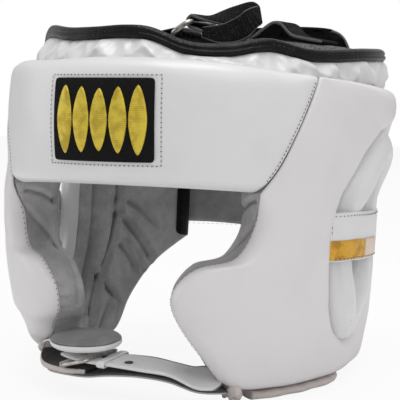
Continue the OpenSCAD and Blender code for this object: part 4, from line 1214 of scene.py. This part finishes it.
def raised(net, height):  # the same net, moved off along its own normals
    net = np.asarray(net, float)
    return net + unit(np.cross(np.gradient(net, axis=0), np.gradient(net, axis=1))) * height


def edgeLine(name, net, column, body, thick=0.5):  # fine selvedge along one edge of a strap
    line = net[:, column]
    ahead = unit(np.gradient(line, axis=0))
    aside = unit(line - net[:, 1 if column == 0 else -2])
    over = np.cross(ahead, aside) * 1.9
    rings = [line + thick * (aside * math.cos(a) + over * math.sin(a)) for a in circle(45)]
    return dress(makeTube(name, np.stack(rings, 1)), "edgingAndShade", body)


# Crown strap. It runs from the left over a low bump, round the ring's near bar and back up to its folded end,
# where the loose tail starts. Wrap is the radius at which a strap goes round the ring's bars
strap = {"y": 6, "wide": 28, "thick": 2.2, "foldShare": 0.96, "ringX": -8.5, "ringZ": 197, "tabX": -19.5,
         "tabZ": 190, "wrap": 3.4, "ringHalf": 19, "ringWire": 1.5, "ringCorner": 4,
         "near": ((70, 184.6), (60, 186.4), (52.5, 188.2), (49, 191), (45.5, 194.6), (41, 195.6), (36, 192.8),
                  (30, 188.6), (24, 186.8), (14, 186.4), (4, 188), (-3, 191.6)),
         "far": [[[-3, -7, 198.2], [-6, 18, 201.6]], [[4, 1, 196], [2, 17.5, 205.2]],
                 [[10.2, 6, 195], [8.4, 17, 207.2]], [[16.4, 9, 194.5], [16.2, 16, 209.2]],
                 [[22.6, 10, 195], [21.2, 12.5, 208.8]], [[27.6, 6.5, 195.5], [25.1, 8, 206.5]]],
         "tail": [[[29.8, 0.5, 195], [26.9, 2.5, 205.2]], [[30.2, -5, 193.5], [26.4, -3.5, 204.2]],
                  [[27.6, -9.8, 188.5], [24.2, -8, 202.2]], [[21.8, -10.6, 185.6], [21.4, -9, 199.6]],
                  [[15.4, -10.8, 184.8], [16.2, -9.2, 196.8]], [[9.8, -10.8, 184.8], [10.8, -9.2, 194.8]],
                  [[4.3, -10.2, 186.2], [5.0, -9, 194.0]], [[-1.5, -9.6, 188], [-1.5, -9, 193.4]]],
         "tabLow": ((-46, 186.6), (-38, 186.8), (-30, 186.4)),
         "tabHigh": ((-29, 191.4), (-38, 189.8), (-46, 189.2))}


def level(x, z):  # a row straight across the crown
    return [[x, strap["y"] - strap["wide"] / 2, z], [x, strap["y"] + strap["wide"] / 2, z]]


def wrapRows(x, z, angles):  # rows round one bar of the ring
    return [level(x + strap["wrap"] * math.cos(a), z + strap["wrap"] * math.sin(a)) for a in np.radians(angles)]


strapTable = [level(*spot) for spot in strap["near"]]
strapTable += wrapRows(strap["ringX"], strap["ringZ"], range(270, 89, -30)) + strap["far"]
net = ribbonNet(strapTable, 4)
crownStrap = dress(makeSheet("crownStrap", net, strap["thick"], centred=True), "hook", "shell", ["crown_strap"])
edgeLine("crownStrapEdge", net, 0, "shell")
# The fold joins the strap's far run to its tail
net = ribbonNet(strap["far"][-3:] + strap["tail"][:2], 5)[8:-4]
fold = makeSheet("crownStrapFold", net, strap["thick"] * strap["foldShare"], centred=True)
fold.data.materials.append(finishes["hook"])
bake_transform(fold)
net = ribbonNet(strap["tail"], 5)
dress(makeSheet("crownStrapTail", net, strap["thick"], centred=True), "hook", "crown_tail",
      ["crown_strap_tail"])
edgeLine("tailUpperEdge", net, -1, "crown_tail")
edgeLine("tailLowerEdge", net, 0, "crown_tail")
tabTable = [level(*spot) for spot in strap["tabLow"]]
tabTable += wrapRows(strap["tabX"], strap["tabZ"], range(250, 431, 30))
tabTable += [level(*spot) for spot in strap["tabHigh"]]
dress(makeSheet("crownRingTab", ribbonNet(tabTable, 3), strap["thick"], centred=True), "vinyl", "shell",
      ["crown_ring_tab"])


# Ring of bent wire: a loop of corners, each rounded, swept by its own bevel
def wireLoop(name, corners, radius, bendRadius, body, nodes):
    corners = [np.array(c, float) for c in corners]
    points = []
    for i, c in enumerate(corners):
        before, after = unit(corners[i - 1] - c), unit(corners[(i + 1) % len(corners)] - c)
        centre = c + (before + after) * bendRadius
        for a in np.radians(np.linspace(0, 90, 7)):
            points.append(centre - after * bendRadius * math.cos(a) - before * bendRadius * math.sin(a))
    curve = bpy.data.curves.new(name, "CURVE")
    curve.dimensions, curve.bevel_depth, curve.bevel_resolution = "3D", radius * mm, 5
    spline = curve.splines.new("POLY")
    spline.points.add(len(points) - 1)
    for spot, point in zip(spline.points, points):
        spot.co = (*(point * mm), 1)
    spline.use_cyclic_u = True
    piece = bpy.data.objects.new(name, curve)
    bpy.context.scene.collection.objects.link(piece)
    bpy.ops.object.select_all(action="DESELECT")
    bpy.context.view_layer.objects.active = piece
    piece.select_set(True)
    bpy.ops.object.convert(target="MESH")
    piece.select_set(False)
    piece = bpy.context.view_layer.objects.active
    piece.data.shade_smooth()
    return dress(piece, "steel", body, nodes)


def loopCorners(near, far, middle, half):  # near and far are x and z of a loop's two bars, which lie along y
    return [(near[0], middle - half, near[1]), (far[0], middle - half, far[1]),
            (far[0], middle + half, far[1]), (near[0], middle + half, near[1])]


corners = loopCorners((strap["tabX"], strap["tabZ"]), (strap["ringX"], strap["ringZ"]), strap["y"],
                      strap["ringHalf"])
wireLoop("crownRing", leaning(corners), strap["ringWire"], strap["ringCorner"], "crown_ring", ["crown_ring"])
print("crown")

# Chin strap, its shield, the tab and the pad's tongue, each as x, y, z, slope of its width and width. A bend is
# where a piece would start to follow the moving body and where it fully would; no piece is made to follow it
chin = {"strap": [[48.4, -83.6, 12.9, 30, 6], [47.6, -84.8, 12.8, 30, 12], [45.6, -86.8, 12.7, 28, 17],
                  [43, -88.9, 12.7, 24, 19.5], [38, -92.2, 13.2, 17, 21], [28, -96.4, 17.2, 7, 19.4],
                  [15, -98.9, 19, 6, 21.4], [0, -100, 19.8, 3, 22.6], [-12, -99.5, 20, 3, 22],
                  [-24, -97.5, 20, 3, 18], [-34, -94.5, 20, 3, 12]],
        "shield": [[50.5, -80.5, 7, 12, 11], [46, -86.3, 9.5, 18, 18], [38, -91.8, 11, 14, 21.5],
                   [28, -96.3, 14.4, 6, 22], [15, -98.8, 15.9, 4, 23.5], [0, -100, 15, 3, 24],
                   [-12, -99.5, 12.9, 3, 24], [-24, -97.5, 12.4, 3, 24], [-34, -94.5, 12.4, 3, 24],
                   [-41, -91.5, 12.8, 3, 18]],
        "tab": [[-57, -76, 24.6, 0, 7], [-52.6, -79.9, 22.6, 0, 8], [-49.6, -83.6, 19.6, -1, 11],
                [-45.8, -87.8, 16.4, -3, 17], [-41, -91, 14.6, -3, 22], [-34, -94.5, 14.1, -3, 24],
                [-24, -97.5, 14.1, -3, 24], [-14, -99.1, 14.3, -3, 20]],
        "tongue": [[-40, -92, 26.4, 4, 15], [-42, -91, 26, 4, 14], [-46, -88.2, 24.6, 4, 13],
                   [-50.5, -85, 22.6, 4, 11]],
        "strapThick": 1.8, "shieldThick": 1.4, "tongueThick": 1.2, "holes": (1.6, 16.6, 31.6),
        "holeRadius": 1.75, "prongHole": 1.5, "discDown": 0.25,
        "disc": ((0.3, 0.2), (2.4, 0.2), (2.5, 0), (2.4, -0.2), (0.3, -0.2)), "stitched": slice(14, 40),
        "shadeBack": 42, "shadeFront": 16, "shadeSizes": (0.08, 0.18, 0.22), "tabEdge": 1.0, "turnUpX": -49,
        "leftBend": ((51, -81, 4), (44, -88, 9.5)), "rightBend": ((-54.5, -79.5, 21.5), (-48, -88, 15.5)),
        "tongueBend": ((-48, -87.5, 24), (-43, -90.5, 26))}


def placed(at, turnX, turnZ):  # a place with its turns, as an array
    turns = Matrix.Rotation(math.radians(turnZ), 4, "Z") @ Matrix.Rotation(math.radians(turnX), 4, "X")
    return np.array(Matrix.Translation(Vector(at)) @ turns)


def moved(points, place):
    return np.asarray(points, float) @ place[:3, :3].T + place[:3, 3]


buckle = {"at": (-24, -97.5, 20), "turnX": 3, "turnZ": -11, "heel": (-3, -3.15), "nose": (13.4, 1.4),
          "half": 13.2, "wire": 0.95, "corner": 2.6, "sleeveY": 7.98, "sleeveLong": 9.05, "sleeveOuter": 1.85,
          "sleeveInner": 1.15, "sleeveRim": 0.1,
          "prong": [[-1.2, -3.1], [-0.6, -1.9], [0.9, -1.2], [3.1, 1.3], [5, 3.4], [9, 3.2], [12, 2.9],
                    [14.2, 2.8]],
          "prongHalf": 1.15, "prongTaper": 0.35, "prongThick": 0.65}
bucklePlace = placed(buckle["at"], buckle["turnX"], buckle["turnZ"])


def atBuckle(points):
    return moved(points, bucklePlace)


def cutHoles(piece, spots, radius, high=10):  # round holes through a strap, cut with real cylinders
    for spot in spots:
        bpy.ops.object.select_all(action="DESELECT")
        bpy.ops.mesh.primitive_cylinder_add(vertices=24, radius=radius * mm, depth=high * mm)
        tool = bpy.context.object
        tool.data.transform(Matrix(bucklePlace.tolist()).to_3x3().to_4x4())
        tool.data.transform(Matrix.Translation(Vector(atBuckle(spot)) * mm))
        cut = piece.modifiers.new("hole", "BOOLEAN")
        cut.operation, cut.object, cut.solver = "DIFFERENCE", tool, "EXACT"
        applyAll(piece)
        mesh = tool.data
        bpy.data.objects.remove(tool)
        bpy.data.meshes.remove(mesh)


chinNet, shieldNet, tabNet = (ribbonNet(strapRows(chin[key]), 6, 9) for key in ("strap", "shield", "tab"))


def shadeUnderHole(label, x):  # disc of painted shade under a hole, level with the strap's underside there
    under = raised(chinNet, chin["strapThick"] / 2 + chin["discDown"]).reshape(-1, 3)
    local = (under - bucklePlace[:3, 3]) @ bucklePlace[:3, :3]  # as the buckle has it
    z = local[np.argmin(np.hypot(local[:, 0] - x, local[:, 1])), 2]
    rings = [atBuckle([(x + r * math.cos(a), r * math.sin(a), z + h) for a in circle(30)])
             for r, h in chin["disc"]]
    dress(makeTube(f"strapHoleShade{label}", rings), "holeShade", "chin")


chinStrap = makeSheet("chinStrap", chinNet, chin["strapThick"], centred=True)
cutHoles(chinStrap, [(chin["holes"][0], 0, 0)], chin["holeRadius"] * chin["prongHole"])
cutHoles(chinStrap, [(x, 0, 0) for x in chin["holes"][1:]], chin["holeRadius"])
dressBend(chinStrap, "white", chin["leftBend"], ["chin_strap"])
for label, x in zip(("Near", "Far"), chin["holes"][1:]):
    shadeUnderHole(label, x)
# The shield is painted dark as the shade that falls under the strap
dressBend(makeSheet("chinShield", shieldNet, chin["shieldThick"], centred=True), "shadeSuede",
          chin["leftBend"], ["chin_shield"])

# The tab's root shows its pale side; past the fold its suede side is painted dark as shade. Its front edge is
# bound
turnUp = 1 + int(np.argmin(np.abs(tabNet[:, :, 0].mean(1) - chin["turnUpX"])))
dressBend(makeSheet("chinTabRoot", tabNet[:turnUp], chin["shieldThick"], centred=True), "cream",
          chin["rightBend"], [])
dressBend(makeSheet("chinTab", tabNet[turnUp - 1:], chin["shieldThick"], centred=True), "shadeSuede",
          chin["rightBend"], ["chin_tab"])
rings = []
for i, edge in enumerate(resample(tabNet[:, 0], 2)):
    r = chin["tabEdge"] + 0.08 * math.sin(i * 1.9)
    rings.append([edge + (0, 0.5 + r * math.cos(a) * 0.9, r * math.sin(a) * 1.5) for a in circle(30)])
dressBend(makeTube("chinTabBinding", rings), "cream", chin["rightBend"], [])

# Pale selvedge along the shield's front edge, and a dark line of painted shade, the strap's edge in shadow,
# round its sewn end. The line runs along the back edge, round the end and a little along the front edge, and is
# finest where it starts and stops
rings = [[edge + (0, 0.4 * math.cos(a), 0.45 * math.sin(a)) for a in circle(45)] for edge in shieldNet[2:, -1]]
dressBend(makeTube("shieldSelvedge", rings), "paleEnd", chin["leftBend"])
lifted = raised(chinNet, chin["strapThick"] / 2 - 0.3)
edgeShadeLine = np.concatenate([lifted[chin["shadeBack"]:0:-1, 0], lifted[0, 1:-1], lifted[1:chin["shadeFront"], -1]])
aside = np.cross(unit(np.gradient(edgeShadeLine, axis=0)), (0, 0, 1.0))
steps = np.arange(len(edgeShadeLine))
finest, thicker, fullest = chin["shadeSizes"]
ending = ease((steps[::-1] + 1) / 8)
sizes = finest + (thicker * ease(steps / 8) + fullest * ease((steps - 22) / 16)) * ending
rings = [[spot + r * out * math.cos(a) + (0, 0, r * math.sin(a)) for a in circle(60)]
         for spot, out, r in zip(edgeShadeLine, aside, sizes)]
dressBend(makeTube("strapEndShadeLine", rings), "edgingAndShade", chin["leftBend"])

# Stitches along both edges of the strap, between its sewn end and the keeper
face = raised(chinNet, chin["strapThick"] / 2 + 0.02)
for label, column in (("strapTopStitches", 1), ("strapLowStitches", -2)):
    line = face[chin["stitched"], column]
    stitchRow(label, line, line - chinNet[chin["stitched"], column], "chin", pitch=2.9, long=2.0, thick=0.7,
              holes=False)

# Buckle: frame of bent wire, its prong, and the leather loops that hold it
corners = loopCorners(buckle["heel"], buckle["nose"], 0, buckle["half"])
wireLoop("buckleFrame", atBuckle(corners), buckle["wire"], buckle["corner"], "chin", ["buckle_frame"])
prongLine = resample(buckle["prong"], 4)
rings = []
for i, (x, z) in enumerate(prongLine):
    way = unit(prongLine[min(i + 1, len(prongLine) - 1)] - prongLine[max(i - 1, 0)])
    half, thick = buckle["prongHalf"] - buckle["prongTaper"] * ease(i / len(prongLine)), buckle["prongThick"]
    ring = [(x - way[1] * thick * math.sin(a), half * math.cos(a), z + way[0] * thick * math.sin(a))
            for a in circle(30)]
    rings.append(atBuckle(ring))
dress(makeTube("buckleProng", rings), "steel", "prong", ["buckle_prong"])


def sleeve(name, middle, nodes):  # rolled leather round the buckle's heel bar
    (x, z), inner, outer = buckle["heel"], buckle["sleeveInner"], buckle["sleeveOuter"]
    rim, rings = outer + buckle["sleeveRim"], []
    for y, r in ((-0.5, inner), (-0.5, outer), (-0.47, rim), (0.47, rim), (0.5, outer), (0.5, inner)):
        rings.append(atBuckle([(x + r * math.cos(a), middle + y * buckle["sleeveLong"], z + r * math.sin(a))
                               for a in circle(20)]))
    dress(makeTube(name, rings, along=True), "cream", "chin", nodes)


sleeve("buckleSleeveUpper", buckle["sleeveY"], ["buckle_loop"])
sleeve("buckleSleeveLower", -buckle["sleeveY"], [])

# Keeper: a flat loop of leather round the strap, drawn in a little along its two edges
keeper = {"at": (-4.4, -99.8, 19.93), "turnX": 3, "turnZ": -2, "long": 5, "wide": 25.4, "deep": 3.9,
          "corner": 1.7, "wall": 0.8, "drawn": 0.25}


def fromKeeper(spots):
    return spots - np.array(keeper["at"])


loop = []
corner = keeper["corner"]
halfWide, halfDeep = keeper["wide"] / 2 - corner, keeper["deep"] / 2 - corner
for signY, signZ, start in ((1, 1, 0), (-1, 1, 90), (-1, -1, 180), (1, -1, 270)):
    for a in np.radians(np.linspace(start, start + 90, 5)):
        loop.append((signY * halfWide + corner * math.cos(a), signZ * halfDeep + corner * math.sin(a)))
stations = np.linspace(-0.5, 0.5, 6) * keeper["long"]
drawn = np.where(np.isclose(abs(stations), keeper["long"] / 2), keeper["drawn"], 0)
net = [[(x, y, z - d * (1 if z > 0 else -1)) for x, d in zip(stations, drawn)] for y, z in loop]
net = moved(net, placed(keeper["at"], keeper["turnX"], keeper["turnZ"]))
dress(makeSheet("strapKeeper", net, keeper["wall"], fromKeeper, along=True), "white", "keeper", ["keeper"])

# Pad over the buckle: leather underside and rim, suede top, foam inside. Rings are a height, how far in from
# the outline, and then the share of the size and the height of the sewing's waves
chinPad = {"at": (3.2, 0, 4.9), "long": 39, "wide": 36, "thick": 7.6, "seam": 4.2, "skin": 1.2,
           "profile": [[0, 0.8], [0.1, 0.93], [0.3, 1], [0.62, 1], [0.82, 0.9], [0.95, 0.62], [1, 0.25]]}


def chinPadRing(height, inset, shrink=1.0, wave=0.0):
    share = np.interp(height / chinPad["thick"], *np.array(chinPad["profile"]).T) * shrink
    angles = circle(10)
    across = (chinPad["long"] / 2 - inset) * share * np.cos(angles)
    along = (chinPad["wide"] / 2 - inset) * share * np.sin(angles)
    up = height + wave * (np.sin(angles * 5 + 1) + 0.7 * np.sin(angles * 8))
    return atBuckle(np.stack([across, along, up], -1) + chinPad["at"])


def chinPadPart(name, finish, rings, node, levels=1):
    rings = [chinPadRing(*ring) for ring in rings]
    dress(makeTube(name, rings, levels=levels), finish, "chin_pad", [node])


seam, skin, top = chinPad["seam"], chinPad["skin"], chinPad["thick"]
chinPadPart("chinPadCover", "white",
            [(0, 0, 0.3), (0, 0, 0.9), (0.4, 0), (1.2, 0), (2.4, 0, 1, 0.1), (3.4, 0, 1, 0.12),
             (seam - 0.1, 0.2, 1, 0.1), (seam - 0.1, skin, 1, 0.1), (2.4, skin), (skin, skin, 0.9),
             (skin, skin, 0.3)],
            "chin_pad_cover")
chinPadPart("chinPadTop", "padSuede",
            [(top - skin - 0.2, skin, 0.3), (top - skin - 0.3, skin, 0.9), (5.2, skin), (seam + 0.1, skin),
             (seam + 0.1, 0.4), (seam + 0.5, 0.1, 1, 0.12), (5.4, 0.05, 1, 0.16), (6.3, 0, 1, 0.12),
             (7.0, 0, 1, 0.1), (7.5, 0), (7.9, 0, 0.7), (8.1, 0, 0.3)], "chin_pad_top")
chinPadPart("chinPadFoam", "foam",
            [(1.5, 1.6, 0.3), (1.5, 1.6, 0.9), (3.5, 1.7), (5.4, 1.7, 0.97), (6.0, 1.7, 0.8), (6.0, 1.7, 0.3)],
            "chin_pad_foam", 0)
tongueNet = ribbonNet(strapRows(chin["tongue"]), 5, 7)
dressBend(makeSheet("chinPadTongue", tongueNet, chin["tongueThick"], centred=True), "white",
          chin["tongueBend"], [])

# Folded lump that holds the strap's left end, and the gathered leather round that end
anchor = {"ends": ((57, -80.8, 4.2), (50.5, -75.2, 4.2)), "radius": 3.0}
gathered = {"at": (53.2, -80.7, 6.3), "long": 9.8, "deep": 4.0, "high": 5.2, "rise": 1.3}
a, b = (np.array(end, float) for end in anchor["ends"])
way = unit(b - a)
aside = unit(np.cross(way, (0, 0, 1.0)))
over = np.cross(aside, way)
rings = []
for s in np.linspace(-0.99, 0.99, 29):
    full, ring = math.sqrt(1 - s * s) ** 0.8, []
    middle = gathered["at"] - way * s * gathered["long"] + (0, 0, gathered["rise"] * s)
    for w in circle(7):
        r = full * (1 - 0.17 * abs(math.sin(2.5 * w + 3.5 * s + 0.6)) ** 2 - 0.09 * math.sin(9 * s + 2 * w))
        up = r * gathered["high"] * math.sin(w)
        ring.append(middle + aside * r * gathered["deep"] * math.cos(w) + (0, 0, up))
    rings.append(ring)
dress(makeTube("strapEndGathers", rings, levels=0), "cream", "shell", [])

rings = []
for s in np.linspace(-0.98, 0.98, 15):
    cap = math.sqrt(max(1 - max(abs(s) - 0.62, 0) ** 2 / 0.145, 0.02))
    middle, ring = (a + b) / 2 + way * s * (np.linalg.norm(b - a) / 2 + anchor["radius"]), []
    for w in circle(15):
        r = anchor["radius"] * cap * (1 - 0.12 * (math.sin(3 * w + s * 5) > 0.2) - 0.05 * math.sin(7 * w))
        ring.append(middle + aside * r * math.cos(w) + over * r * math.sin(w))
    rings.append(ring)
dress(makeTube("strapAnchor", rings), "cream", "shell", ["left_strap_anchor"])
print("chin")

# Floor: a pale plane with the guard's shadow, which the camera sees mixed with white by the share of that name
floor = {"size": 6.0, "tone": (0.9, 0.9, 0.9), "white": 0.9, "speckle": 60, "darker": 0.99}


def makeFloor():
    bpy.ops.mesh.primitive_plane_add(size=floor["size"])
    plane = bpy.context.object
    plane.name = "floor"
    finish = Finish("paleFloor", Roughness=0.9)
    speckle, darker = finish.noise(floor["speckle"], 2), tuple(c * floor["darker"] for c in floor["tone"])
    finish.feed("Base Color", finish.blendColours(speckle, floor["tone"], darker))
    glow = finish.node("ShaderNodeEmission", None, {"Color": (1, 1, 1, 1), "Strength": 1.0})
    ray = finish.node("ShaderNodeLightPath", output="Is Camera Ray")
    shown = Wire(finish, finish.shader.outputs[0])
    mixed = finish.node("ShaderNodeMixShader", None, {0: ray * floor["white"], 1: shown, 2: glow})
    finish.tree.links.new(mixed.socket, finish.tree.nodes["Material Output"].inputs["Surface"])
    plane.data.materials.append(finish.material)


makeFloor()
print("floor")
